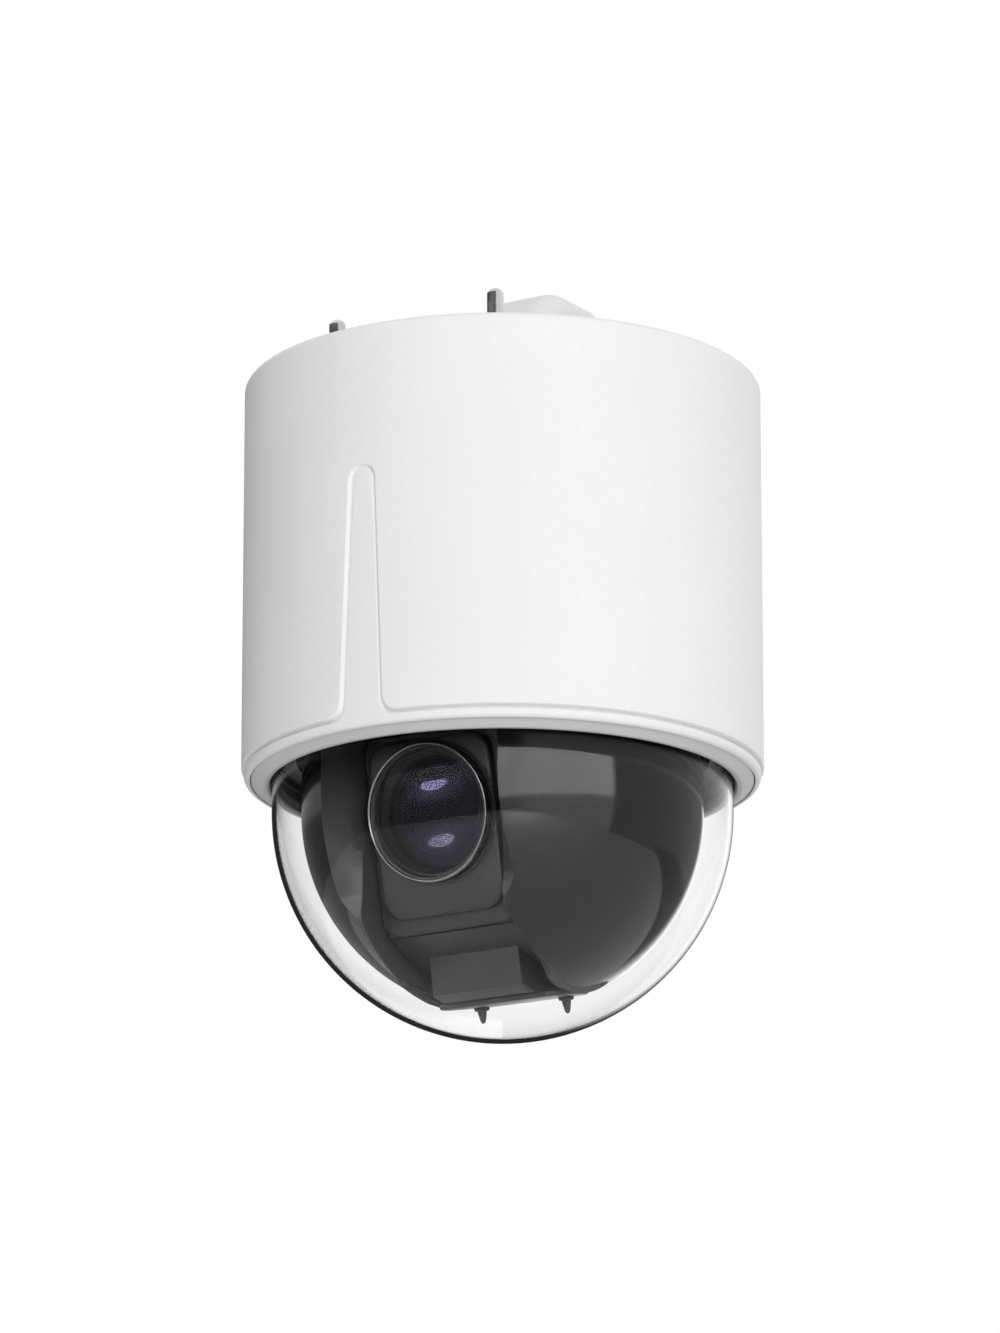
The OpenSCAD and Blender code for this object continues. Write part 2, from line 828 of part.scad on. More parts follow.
module case_cover() {
    inner = case_half - case_wall - 0.1;
    tall = case_h - case_wall - 0.1;
    color([0.2, 0.2, 0.21]) tilted() difference() {
        union() {
            block([-case_half, case_back, -case_h], [case_half, case_back + 2, case_h]);
            block([-inner, case_back - 4, -tall], [inner, case_back + eps, tall]);
        }
        block([-inner + 2, case_back - 5, -tall + 2], [inner - 2, case_back, tall - 2]);
        for (x = [-16 : 4 : 16]) block([x - 1, case_back - 1, -12], [x + 1, case_back + 3, 12]);
    }
}

module front_frame() {
    color([0.22, 0.22, 0.23]) tilted() difference() {
        union() {
            rotate([90, 0, 0]) translate([0, 0, -case_front]) linear_extrude(3)
                round_rect(-case_half - 0.5, -39, case_half + 0.5, case_h, 6);
            rotate([90, 0, 0]) translate([0, 0, -case_front + 3 - eps]) linear_extrude(3)
                round_rect(-23.6, -34, 23.6, 25, 8);
        }
        rod_y(barrel_r + 0.4, case_front - 10, case_front + 1);
        // shallow groove under the lens
        block([-14, case_front - 7, -30.5], [14, case_front - 5, -29]);
    }
}

module lens_bezel() {
    face = -bezel_reach;
    color("silver") tilted() rotate([90, 0, 0]) rotate_extrude()
        polygon([[bezel_r, -face - 2.5], [bezel_r, -face - 0.6], [bezel_r - 0.6, -face],
            [bezel_r - 1, -face], [bezel_r - 1.9, -face - 1.6], [bezel_r - 1.9, -face - 2.5]]);
}

module front_lens() {
    r = 20.3;
    curve = 48;
    color([0.1, 0.08, 0.2]) tilted() intersection() {
        translate([0, -47.2 + curve, 0]) sphere(curve);
        rod_y(r, -50, -40);
    }
}

module lens_barrel() {
    front = bezel_reach - 2.5;
    color([0.08, 0.08, 0.09]) tilted() difference() {
        union() {
            rotate([90, 0, 0]) rotate_extrude() difference() {
                translate([0, 18]) square([barrel_r, front - 18]);
                translate([-1, 38]) square([21.4, 20]);
                translate([-1, 30]) square([19, 20]);
                translate([-1, 10]) square([17, 30]);
            }
            block([-22.5, -20, -22.5], [22.5, -18, 22.5]);
        }
        rod_y(16, -25, -10);
        for (s = [-1, 1]) translate([s * rod_pos, 0, s * rod_pos]) rod_y(1.05, -25, -10);
    }
}

module tilt_shafts() {
    color("silver") tilted() for (side = [-1, 1]) rotate([0, side * 90, 0]) {
        rod(9, case_half, case_half + 1);
        rod(shaft_r, case_half + 1 - eps, side > 0 ? 46 : 36);
    }
}

module tilt_pulley() {
    x = tilt_pulley_x;
    color("silver") tilted() difference() {
        union() {
            rod_x(tilt_r, x, x + 6.6);
            rod_x(tilt_r + 1.8, x + 6, x + 6.8);
        }
        rod_x(shaft_r + fit, x - 1, x + 8);
        for (i = [0 : 5]) rotate([i * 60, 0, 0]) translate([0, 12.5, 0]) rod_x(3.6, x - 1, x + 8);
        for (i = [0 : tilt_teeth / 2 - 1]) rotate([i * 720 / tilt_teeth, 0, 0])
            translate([0, tilt_r, 0]) rod_x(0.4, x - 1, x + 5.9);
    }
}

module chin_cover() {
    inner = chin_half - 2;
    color([0.2, 0.2, 0.21]) tilted() difference() {
        intersection() {
            block([-chin_half, -29, chin_z], [chin_half, 22, -case_h]);
            rod_x(66, -40, 40);
        }
        intersection() {
            block([-inner, -27, chin_z - 1], [inner, 20, -case_h - 2]);
            rod_x(64, -40, 40);
        }
    }
}

module base_plate() {
    color([0.2, 0.2, 0.21]) tilted() intersection() {
        translate([0, -6, 0]) rod(25, chin_z - 2, chin_z);
        block([-25, -20, chin_z - 3], [25, 8, chin_z + 1]);
    }
}

module base_pins() {
    color([0.12, 0.12, 0.12]) tilted() for (side = [-1, 1]) translate([side * pin_x, 0, chin_z - 2]) {
        rod(2.6, -1.2, 0);
        translate([0, 0, -5.6]) cylinder(r1 = 0.7, r2 = 1.6, h = 4.45);
    }
}

module sensor_board() {
    color("darkgreen") tilted() difference() {
        union() {
            block([-22, 28, -22], [22, 29.6, 22]);
            block([-7, 26, -5.5], [7, 28 + eps, 5.5]);
            block([-18, 29.6 - eps, -16], [-4, 31.4, -6]);
            block([6, 29.6 - eps, 4], [18, 33, 12]);
        }
        for (s = [-1, 1]) translate([s * rod_pos, 0, s * rod_pos]) rod_y(1.05, 20, 40);
    }
}

module guide_rods() {
    color("silver") tilted() for (s = [-1, 1]) translate([s * rod_pos, 0, s * rod_pos])
        rod_y(1, -20, 29.6);
}

module zoom_magnet() {
    color("dimgray") tilted() block([14.5, -18, -20.5], [21, 24, -14.5]);
}

module focus_magnet() {
    color("dimgray") tilted() block([-21, 0, 14.5], [-14.5, 28, 20.5]);
}

// ---- sliding lens groups ----

// a lens in a round cell between low and high, with ears that run on the guide rods
module lens_cell(r, low, high, ear_length) {
    difference() {
        union() {
            rod_y(r, low, high);
            for (s = [-1, 1]) translate([s * rod_pos, 0, s * rod_pos])
                rod_y(3, low, low + ear_length);
            intersection() {
                rotate([0, -45, 0]) block([-rod_pos * sqrt(2), low, -2], [rod_pos * sqrt(2), high, 2]);
                rod_y(30, low, low + 3);
            }
        }
        for (s = [-1, 1]) translate([s * rod_pos, 0, s * rod_pos]) rod_y(1.06, low - 1, high + 20);
        // dished faces of the glass
        translate([0, low - 17, 0]) sphere(18.5);
    }
}

module zoom_group() {
    color([0.15, 0.15, 0.16]) tilted() {
        lens_cell(13, -15, -9, 6);
        block([8, -14, -13.9], [12, -9, -6]);
    }
}

module focus_group() {
    color([0.15, 0.15, 0.16]) tilted() {
        lens_cell(10.5, 8, 12, 6);
        block([-11, 8, 6], [-8, 12, 14.2]);
    }
}

module ir_cut_filter() {
    color([0.1, 0.3, 0.4]) tilted() difference() {
        block([-8, 22, -8], [22, 23.4, 8]);
        block([8, 22.9, -6], [20, 24, 6]);
        block([-6, 22.9, -6], [6, 24, 6]);
    }
}

housing_shell();
top_plate();
top_screws();
mounting_studs();
stud_nuts();
cable_hood();
cable_grommet();
safety_eye();
dome_ring();
dome_seal();
dome_bubble();
dome_clamp_ring();
dome_clamp_screws();
trim_ring();
deck_posts();
chassis_deck();
deck_screws();
board_spacers();
main_board();
slip_ring_body();
pan_bearing_outer();
pan_bearing_balls();
pan_motor();
pan_belt();
pan_pinion();
turntable();
pan_hub();
pan_pulley();
pan_bearing_inner();
slip_ring_rotor();
yoke_left();
yoke_right();
yoke_screws();
shroud_left();
shroud_right();
head_screws();
tilt_bushes();
tilt_motor();
tilt_motor_bracket();
tilt_belt();
head_board();
tilt_pinion();
camera_case();
case_cover();
front_frame();
lens_bezel();
front_lens();
lens_barrel();
tilt_shafts();
tilt_pulley();
chin_cover();
base_plate();
base_pins();
sensor_board();
guide_rods();
zoom_magnet();
focus_magnet();
zoom_group();
focus_group();
ir_cut_filter();
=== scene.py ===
"""Looks of the ceiling dome camera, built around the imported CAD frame.

Shapes are worked out in millimetres and turned into metres by MM.
"""
import json
import math

import bmesh
import bpy
from mathutils import Matrix, Vector


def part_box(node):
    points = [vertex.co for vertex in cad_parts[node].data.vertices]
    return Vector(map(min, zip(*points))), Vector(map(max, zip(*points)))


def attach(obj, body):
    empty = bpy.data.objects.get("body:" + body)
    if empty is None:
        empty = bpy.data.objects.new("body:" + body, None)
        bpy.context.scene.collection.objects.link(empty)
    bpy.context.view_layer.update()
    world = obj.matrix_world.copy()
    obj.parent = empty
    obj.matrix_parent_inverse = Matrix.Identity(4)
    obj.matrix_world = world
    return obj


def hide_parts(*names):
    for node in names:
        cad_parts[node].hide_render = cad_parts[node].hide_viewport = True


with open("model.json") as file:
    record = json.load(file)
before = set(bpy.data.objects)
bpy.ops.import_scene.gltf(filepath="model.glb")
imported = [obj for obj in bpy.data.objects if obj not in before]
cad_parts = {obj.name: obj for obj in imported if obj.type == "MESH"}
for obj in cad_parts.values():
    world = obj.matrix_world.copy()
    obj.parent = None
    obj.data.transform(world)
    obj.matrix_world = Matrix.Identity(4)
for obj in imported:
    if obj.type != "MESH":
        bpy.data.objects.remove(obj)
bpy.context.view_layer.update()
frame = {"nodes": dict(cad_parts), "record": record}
MM = 0.001
RECORD = frame["record"]
NODES = frame["nodes"]
SLOTS = {part["node"]: part["material_slot"] for part in RECORD["subparts"]}


def node_box(node):
    """A CAD node's lowest and highest corner, in mm."""
    low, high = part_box(node)
    return Vector(low) / MM, Vector(high) / MM


SHELL_LOW, SHELL_HIGH = node_box("housing_shell")
DOME_LOW = node_box("dome_bubble")[0]
BODY_R = SHELL_HIGH.x
BODY_H = -SHELL_LOW.z
SHROUD_R = node_box("shroud_right")[1].x
DOME_R = 77.6
AXIS_Z = DOME_LOW.z + DOME_R

# ---- camera, as in the photograph: from below, 32 degrees round to the right ----

VIEW_AZ = math.radians(32)
TO_CAMERA = Vector((math.sin(VIEW_AZ), -math.cos(VIEW_AZ), 0))
TO_RIGHT = Vector((math.cos(VIEW_AZ), math.sin(VIEW_AZ), 0))
CAMERA_DISTANCE = 2.311
CAMERA_Z = -0.7396
AIM_Z = -0.09735
FOCAL_MM = 191.6
SHIFT_X = -0.0026
SENSOR_MM = 36
PICTURE_SHAPE = 1000 / 1333


def make_camera():
    data = bpy.data.cameras.new("camera")
    data.sensor_fit = "AUTO"
    data.sensor_width = SENSOR_MM
    data.lens = FOCAL_MM
    data.shift_x = SHIFT_X * PICTURE_SHAPE
    data.clip_start = 0.05
    data.clip_end = 60
    camera = bpy.data.objects.new("camera", data)
    bpy.context.scene.collection.objects.link(camera)
    camera.location = TO_CAMERA * CAMERA_DISTANCE + Vector((0, 0, CAMERA_Z))
    ahead = Vector((0, 0, AIM_Z)) - camera.location
    camera.rotation_euler = ahead.to_track_quat("-Z", "Y").to_euler()
    bpy.context.scene.camera = camera


make_camera()

# ---- node helpers ----


class Tree:
    """Short calls for building a node tree."""

    def __init__(self, tree):
        self.tree = tree
        tree.nodes.clear()

    def add(self, kind, settings=None, **inputs):
        node = self.tree.nodes.new(kind)
        for name, value in (settings or {}).items():
            setattr(node, name, value)
        for name, value in inputs.items():
            self.put(node.inputs[name.replace("_", " ")], value)
        return node

    def put(self, socket, value):
        if isinstance(value, bpy.types.NodeSocket):
            self.tree.links.new(value, socket)
        else:
            socket.default_value = value

    def math(self, operation, *values):
        node = self.tree.nodes.new("ShaderNodeMath")
        node.operation = operation
        for socket, value in zip(node.inputs, values):
            self.put(socket, value)
        return node.outputs[0]

    def step(self, value, low, high, out_low=0.0, out_high=1.0):
        """A smooth rise from out_low to out_high as value goes from low to high."""
        node = self.add("ShaderNodeMapRange", {"interpolation_type": "SMOOTHSTEP"})
        for index, number in enumerate((value, low, high, out_low, out_high)):
            self.put(node.inputs[index], number)
        return node.outputs[0]

    def oval(self, across, upward, half_width, half_height):
        """Distance from the middle of an oval, 1 at its edge."""
        wide = self.math("POWER", self.math("DIVIDE", across, half_width), 2.0)
        tall = self.math("POWER", self.math("DIVIDE", upward, half_height), 2.0)
        return self.math("SQRT", self.math("ADD", wide, tall))

    def dot(self, vector, axis):
        node = self.tree.nodes.new("ShaderNodeVectorMath")
        node.operation = "DOT_PRODUCT"
        self.put(node.inputs[0], vector)
        node.inputs[1].default_value = axis
        return node.outputs["Value"]

    def noise(self, vector, scale, detail=3.0, roughness=0.55):
        node = self.add("ShaderNodeTexNoise", Vector=vector, Scale=scale, Detail=detail,
                        Roughness=roughness)
        return node.outputs["Fac"]

    def mix(self, factor, first, second):
        node = self.tree.nodes.new("ShaderNodeMix")
        node.data_type = "RGBA"
        self.put(node.inputs[0], factor)
        self.put(node.inputs[6], first)
        self.put(node.inputs[7], second)
        return node.outputs[2]

    def bump(self, height, distance):
        return self.add("ShaderNodeBump", Height=height, Distance=distance, Strength=1.0).outputs["Normal"]


def rgba(colour):
    if isinstance(colour, (int, float)):
        colour = (colour, colour, colour)
    return (*colour, 1.0)


MATERIALS = {}


def surface(name, dark, light, rough, metallic=0.0, grain=900.0, grain_depth=4e-6, patch=30.0,
            brushed=None, scratches=0.0):
    """A Principled material: colour and roughness drift in soft patches, with a fine grain in the normal,
    and, where asked, brushing along one axis and hairline scratches."""
    material = bpy.data.materials.new(name)
    material.use_nodes = True
    tree = Tree(material.node_tree)
    place = tree.add("ShaderNodeTexCoord").outputs["Object"]
    drift = tree.noise(place, patch)
    fine_place = place
    if brushed:
        stretch = tree.add("ShaderNodeMapping", Vector=place)
        stretch.inputs["Scale"].default_value = brushed
        fine_place = stretch.outputs[0]
    fine = tree.noise(fine_place, grain, 4.0)
    blend = tree.math("MULTIPLY_ADD", fine, 0.35, tree.math("MULTIPLY", drift, 0.65))
    colour = tree.mix(tree.step(blend, 0.35, 0.65), rgba(dark), rgba(light))
    rough_low, rough_high = rough
    wobble = tree.math("MULTIPLY_ADD", drift, 0.6, tree.math("MULTIPLY", fine, 0.4))
    roughness = tree.step(wobble, 0.3, 0.7, rough_low, rough_high)
    height = fine
    if scratches:
        lines = tree.add("ShaderNodeTexWave", {"wave_type": "BANDS", "bands_direction": "DIAGONAL"},
                         Vector=place, Scale=scratches, Distortion=18.0, Detail=4.0).outputs["Fac"]
        height = tree.math("ADD", fine, tree.math("POWER", lines, 12.0))
    shader = tree.add("ShaderNodeBsdfPrincipled", Base_Color=colour, Roughness=roughness,
                      Metallic=metallic)
    if grain_depth:
        tree.put(shader.inputs["Normal"], tree.bump(height, grain_depth))
    out = tree.add("ShaderNodeOutputMaterial")
    tree.tree.links.new(shader.outputs[0], out.inputs["Surface"])
    MATERIALS[name] = material
    return material


def clear_plastic(name, tint, ior, rough, shadow=0.96):
    """Clear moulding: refracts, and lets the lamps' light through to what is behind it."""
    material = bpy.data.materials.new(name)
    material.use_nodes = True
    tree = Tree(material.node_tree)
    place = tree.add("ShaderNodeTexCoord").outputs["Object"]
    drift = tree.noise(place, 22.0)
    colour = tree.mix(drift, rgba(tint), rgba(1.0))
    roughness = tree.step(tree.noise(place, 60.0), 0.3, 0.7, rough, rough * 1.6)
    glass = tree.add("ShaderNodeBsdfPrincipled", Base_Color=colour, Roughness=roughness, IOR=ior)
    glass.inputs["Transmission Weight"].default_value = 1.0
    through = tree.add("ShaderNodeBsdfTransparent", Color=rgba(shadow))
    is_shadow = tree.add("ShaderNodeLightPath").outputs["Is Shadow Ray"]
    blend = tree.add("ShaderNodeMixShader")
    tree.put(blend.inputs[0], is_shadow)
    tree.put(blend.inputs[1], glass.outputs[0])
    tree.put(blend.inputs[2], through.outputs[0])
    out = tree.add("ShaderNodeOutputMaterial")
    tree.tree.links.new(blend.outputs[0], out.inputs["Surface"])
    MATERIALS[name] = material
    return material


def coated_glass(name, coating, weight, edge_weight, rough=0.03, see_through=0.9):
    """A lens surface: clear, with the coloured reflection of an anti-reflection coating."""
    material = bpy.data.materials.new(name)
    material.use_nodes = True
    tree = Tree(material.node_tree)
    place = tree.add("ShaderNodeTexCoord").outputs["Object"]
    drift = tree.noise(place, 45.0)
    tint = tree.mix(drift, rgba(coating), rgba([0.8 * c + 0.2 * max(coating) for c in coating]))
    mirror = tree.add("ShaderNodeBsdfAnisotropic", Color=tint, Roughness=rough)
    clear = tree.add("ShaderNodeBsdfTransparent", Color=rgba(see_through))
    facing = tree.add("ShaderNodeLayerWeight").outputs["Facing"]
    factor = tree.step(facing, 0.3, 1.0, weight, edge_weight)
    blend = tree.add("ShaderNodeMixShader")
    tree.put(blend.inputs[0], factor)
    tree.put(blend.inputs[1], clear.outputs[0])
    tree.put(blend.inputs[2], mirror.outputs[0])
    out = tree.add("ShaderNodeOutputMaterial")
    tree.tree.links.new(blend.outputs[0], out.inputs["Surface"])
    MATERIALS[name] = material
    return material


def board(name):
    """Circuit board: green mask with fine tracks, pads and darker parts."""
    material = bpy.data.materials.new(name)
    material.use_nodes = True
    tree = Tree(material.node_tree)
    place = tree.add("ShaderNodeTexCoord").outputs["Object"]
    tracks = tree.add("ShaderNodeTexBrick", Vector=place, Scale=260.0, Mortar_Size=0.03)
    tracks.inputs["Color1"].default_value = rgba((0.012, 0.09, 0.035))
    tracks.inputs["Color2"].default_value = rgba((0.010, 0.075, 0.030))
    tracks.inputs["Mortar"].default_value = rgba((0.03, 0.17, 0.07))
    cells = tree.add("ShaderNodeTexVoronoi", Vector=place, Scale=330.0)
    pads = tree.step(cells.outputs["Distance"], 0.16, 0.12)
    colour = tree.mix(pads, tracks.outputs["Color"], rgba((0.55, 0.42, 0.16)))
    rough = tree.step(pads, 0.0, 1.0, 0.35, 0.25)
    shader = tree.add("ShaderNodeBsdfPrincipled", Base_Color=colour, Roughness=rough)
    tree.put(shader.inputs["Normal"], tree.bump(tracks.outputs["Fac"], 2e-5))
    out = tree.add("ShaderNodeOutputMaterial")
    tree.tree.links.new(shader.outputs[0], out.inputs["Surface"])
    MATERIALS[name] = material
    return material


def make_materials():
    surface("white_paint", 0.815, 0.85, (0.36, 0.46), grain=620.0, grain_depth=5e-6, patch=9.0)
    surface("white_plastic", 0.62, 0.66, (0.42, 0.52), grain=1400.0, grain_depth=4e-6, patch=14.0)
    surface("hood_plastic", 0.80, 0.84, (0.42, 0.55), grain=1600.0, grain_depth=6e-6, patch=18.0)
    surface("grey_plastic", 0.12, 0.15, (0.4, 0.55), grain=1600.0, grain_depth=5e-6)
    surface("black_gloss", 0.009, 0.013, (0.06, 0.10), grain=500.0, grain_depth=0.0, patch=14.0)
    surface("charcoal_plastic", 0.022, 0.029, (0.34, 0.46), grain=2400.0, grain_depth=3e-6, patch=40.0)
    surface("cheek_lining", 0.036, 0.046, (0.30, 0.40), grain=2400.0, grain_depth=6e-6, patch=40.0)
    surface("black_plastic", 0.010, 0.015, (0.40, 0.55), grain=2400.0, grain_depth=7e-6, patch=40.0)
    surface("silver_ring", 0.24, 0.32, (0.18, 0.28), metallic=1.0, grain=1500.0, grain_depth=2e-6,
            patch=60.0)
    surface("zinc_sheet", (0.55, 0.56, 0.58), (0.70, 0.71, 0.73), (0.30, 0.48), metallic=1.0, grain=700.0,
            grain_depth=4e-6, patch=55.0, brushed=(0.06, 1.0, 1.0), scratches=14.0)
    surface("screw_steel", 0.45, 0.6, (0.25, 0.4), metallic=1.0, grain=1800.0, grain_depth=3e-6,
            patch=200.0)
    surface("stud_steel", 0.50, 0.66, (0.16, 0.30), metallic=1.0, grain=2200.0, grain_depth=4e-6,
            patch=160.0, brushed=(1.0, 1.0, 0.08))
    surface("bearing_steel", 0.55, 0.62, (0.1, 0.16), metallic=1.0, grain=1800.0, grain_depth=1e-6)
    surface("motor_steel", 0.35, 0.45, (0.28, 0.42), metallic=1.0, grain=1500.0, grain_depth=4e-6,
            brushed=(1.0, 1.0, 0.1))
    surface("dark_metal", 0.03, 0.045, (0.35, 0.5), metallic=0.6, grain=1500.0, grain_depth=6e-6)
    surface("cast_aluminium", 0.48, 0.58, (0.38, 0.55), metallic=1.0, grain=1100.0, grain_depth=2e-5,
            patch=80.0)
    surface("brass", (0.60, 0.42, 0.16), (0.74, 0.55, 0.24), (0.22, 0.36), metallic=1.0, grain=1500.0,
            grain_depth=3e-6, patch=90.0)
    surface("black_rubber", 0.012, 0.020, (0.6, 0.75), grain=1700.0, grain_depth=1.2e-5, patch=60.0)
    board("circuit_board")
    clear_plastic("clear_dome", 0.985, 1.22, 0.004)
    coated_glass("lens_glass", (0.55, 0.55, 0.62), 0.010, 0.06)
    coated_glass("filter_glass", (0.55, 0.25, 0.18), 0.12, 0.5)


make_materials()

# ---- mesh helpers ----


def finish_mesh(mesh, sharp_deg=35.0):
    mesh.validate()
    work = bmesh.new()
    work.from_mesh(mesh)
    bmesh.ops.recalc_face_normals(work, faces=work.faces)
    work.to_mesh(mesh)
    work.free()
    mesh.shade_smooth()
    mesh.set_sharp_from_angle(angle=math.radians(sharp_deg))


def new_piece(name, points_mm, faces, body, slot, replaces=(), sharp_deg=35.0, material=None):
    """A mesh piece from points in mm; it rides on a body and takes a slot's finish."""
    mesh = bpy.data.meshes.new(name)
    mesh.from_pydata([Vector(p) * MM for p in points_mm], [], faces)
    finish_mesh(mesh, sharp_deg)
    piece = bpy.data.objects.new(name, mesh)
    bpy.context.scene.collection.objects.link(piece)
    mesh.materials.append(MATERIALS[material or slot])
    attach(piece, body)
    if replaces:
        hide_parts(*replaces)
    return piece


def bridge(loops, closed_rows, cap_start=False, cap_end=False):
    """Faces between point loops of equal length: each loop is closed round, and the rows too when asked."""
    count = len(loops[0])
    points = [p for loop in loops for p in loop]
    faces = []
    rows = len(loops) if closed_rows else len(loops) - 1
    for i in range(rows):
        a, b = i * count, ((i + 1) % len(loops)) * count
        for j in range(count):
            k = (j + 1) % count
            faces.append((a + j, a + k, b + k, b + j))
    if cap_start:
        faces.append(tuple(reversed(range(count))))
    if cap_end:
        last = (len(loops) - 1) * count
        faces.append(tuple(range(last, last + count)))
    return points, faces


def rounded(corners, steps=5):
    """A closed section whose corners (x, y, radius) are rounded with arcs."""
    out = []
    total = len(corners)
    for index, (x, y, radius) in enumerate(corners):
        here = Vector((x, y))
        if radius <= 0:
            out.append((x, y))
            continue
        before = Vector(corners[index - 1][:2]) - here
        after = Vector(corners[(index + 1) % total][:2]) - here
        half = before.angle(after) / 2
        reach = min(radius / math.tan(half), 0.49 * before.length, 0.49 * after.length)
        start = here + before.normalized() * reach
        end = here + after.normalized() * reach
        for step in range(steps + 1):
            t = step / steps
            point = start * (1 - t) ** 2 + here * (2 * t * (1 - t)) + end * t ** 2
            out.append((point.x, point.y))
    return out


def revolve(name, section, columns, body, slot, replaces=(), place=None, **more):
    """A closed section (radius, height) turned about Z, then placed."""
    loops = []
    for radius, height in section:
        loop = []
        for j in range(columns):
            turn = 2 * math.pi * j / columns
            loop.append(Vector((radius * math.cos(turn), radius * math.sin(turn), height)))
        loops.append(loop)
    points, faces = bridge(loops, True)
    if place is not None:
        points = [place @ p for p in points]
    return new_piece(name, points, faces, body, slot, replaces, **more)


PITCH = math.radians(12)
HEAD = Matrix.Translation((0, 0, AXIS_Z)) @ Matrix.Rotation(PITCH, 4, "X")
# turned parts of the lens: section height runs out along the lens axis
LENS = HEAD @ Matrix.Rotation(math.radians(90), 4, "X")


def round_rect(x1, z1, x2, z2, radius, inset=0.0, steps=8):
    """Points round a rectangle with round corners, in the X-Z plane, drawn in by inset."""
    out = []
    corner = max(radius - inset, 0.05)
    spots = ((x2 - radius, z2 - radius, 0), (x1 + radius, z2 - radius, 90),
             (x1 + radius, z1 + radius, 180), (x2 - radius, z1 + radius, 270))
    for cx, cz, start in spots:
        for step in range(steps + 1):
            turn = math.radians(start + 90 * step / steps)
            out.append((cx + corner * math.cos(turn), cz + corner * math.sin(turn)))
    return out


def spread(outline, extra):
    """The same outline with extra points on its long straight sides."""
    out = []
    for index, point in enumerate(outline):
        after = outline[(index + 1) % len(outline)]
        out.append(point)
        if math.dist(point, after) > 3:
            for step in range(1, extra + 1):
                t = step / (extra + 1)
                out.append((point[0] + (after[0] - point[0]) * t, point[1] + (after[1] - point[1]) * t))
    return out


def plate_loops(box, radius, y_back, y_front, bevel, bore, steps=4):
    """Loops of a plate across the lens axis: its back, its sides, a rounded front edge, and its bore."""
    x1, z1, x2, z2 = box
    outline = spread(round_rect(x1, z1, x2, z2, radius), 7)
    levels = [(0.0, y_back)]
    for step in range(steps + 1):
        turn = math.pi / 2 * step / steps
        levels.append((bevel * (1 - math.cos(turn)), y_front + bevel * (1 - math.sin(turn))))
    loops = []
    for inset, y in levels:
        ring = spread(round_rect(x1, z1, x2, z2, radius, inset), 7)
        loops.append([Vector((x, y, z)) for x, z in ring])
    bore_r, chamfer = bore
    for r, y in ((bore_r + chamfer, y_front), (bore_r, y_front + chamfer), (bore_r, y_back)):
        loop = []
        for x, z in outline:
            turn = math.atan2(z, x)
            loop.append(Vector((r * math.cos(turn), y, r * math.sin(turn))))
        loops.append(loop)
    return loops


def smooth(value, low, high):
    t = min(max((value - low) / (high - low), 0.0), 1.0)
    return t * t * (3 - 2 * t)


def cut(piece, cutters):
    """Takes away cylinders, each given as (placing matrix, radius in mm, length in mm), and applies it."""
    tools = []
    for place, radius, depth in cutters:
        work = bmesh.new()
        bmesh.ops.create_cone(work, cap_ends=True, segments=32, radius1=radius * MM, radius2=radius * MM,
                              depth=depth * MM, matrix=place)
        mesh = bpy.data.meshes.new("cutter")
        work.to_mesh(mesh)
        work.free()
        tool = bpy.data.objects.new("cutter", mesh)
        bpy.context.scene.collection.objects.link(tool)
        modifier = piece.modifiers.new("cut", "BOOLEAN")
        modifier.operation = "DIFFERENCE"
        modifier.solver = "EXACT"
        modifier.object = tool
        tools.append(tool)
    depsgraph = bpy.context.evaluated_depsgraph_get()
    mesh = bpy.data.meshes.new_from_object(piece.evaluated_get(depsgraph))
    piece.modifiers.clear()
    piece.data = mesh
    for tool in tools:
        bpy.data.objects.remove(tool)


# ---- housing: lathed can with the T-shaped recess pressed into it ----

WALL = 3.0
RECESS = 0.9
BAND_Z = -134.1
TONGUE_Z = -54.0
TONGUE_R = 5.0
TONGUE_FOOT = 8.2
FILLET = 6.0
BAND_GROOVE = 1.5
TONGUE_GROOVE = 0.35
GROOVE_IN = 0.60
GROOVE_HALF = 0.60
FLANGE_T = 3.0
OPENING_R = 72.0
RIM_R = 2.0


def recess_depth(across, z):
    """Depth of the recess at a distance across from the front line and a height z, in mm."""
    if z > TONGUE_Z:
        inside = TONGUE_R - math.hypot(across, z - TONGUE_Z)
    else:
        t = (TONGUE_Z - z) / (TONGUE_Z - BAND_Z)
        inside = TONGUE_R + (TONGUE_FOOT - TONGUE_R) * t - abs(across)
    band = BAND_Z - z
    near = max(FILLET - abs(inside - band), 0) / FILLET
    inside = max(inside, band) + near * near * FILLET / 4
    groove = max(1 - ((inside - GROOVE_IN) / GROOVE_HALF) ** 2, 0)
    deep = TONGUE_GROOVE + (BAND_GROOVE - TONGUE_GROOVE) * smooth(band, -3.0, -0.3)
    return RECESS * smooth(inside, -0.38, 0.38) + deep * groove


def runs(*stops):
    """Values from stop to stop, each pair of stops with its own spacing: value, spacing, value, ..."""
    out = [stops[0]]
    for index in range(1, len(stops), 2):
        spacing, end = stops[index], stops[index + 1]
        start = out[-1]
        count = max(1, math.ceil(abs(end - start) / spacing))
        out.extend(start + (end - start) * step / count for step in range(1, count + 1))
    return out


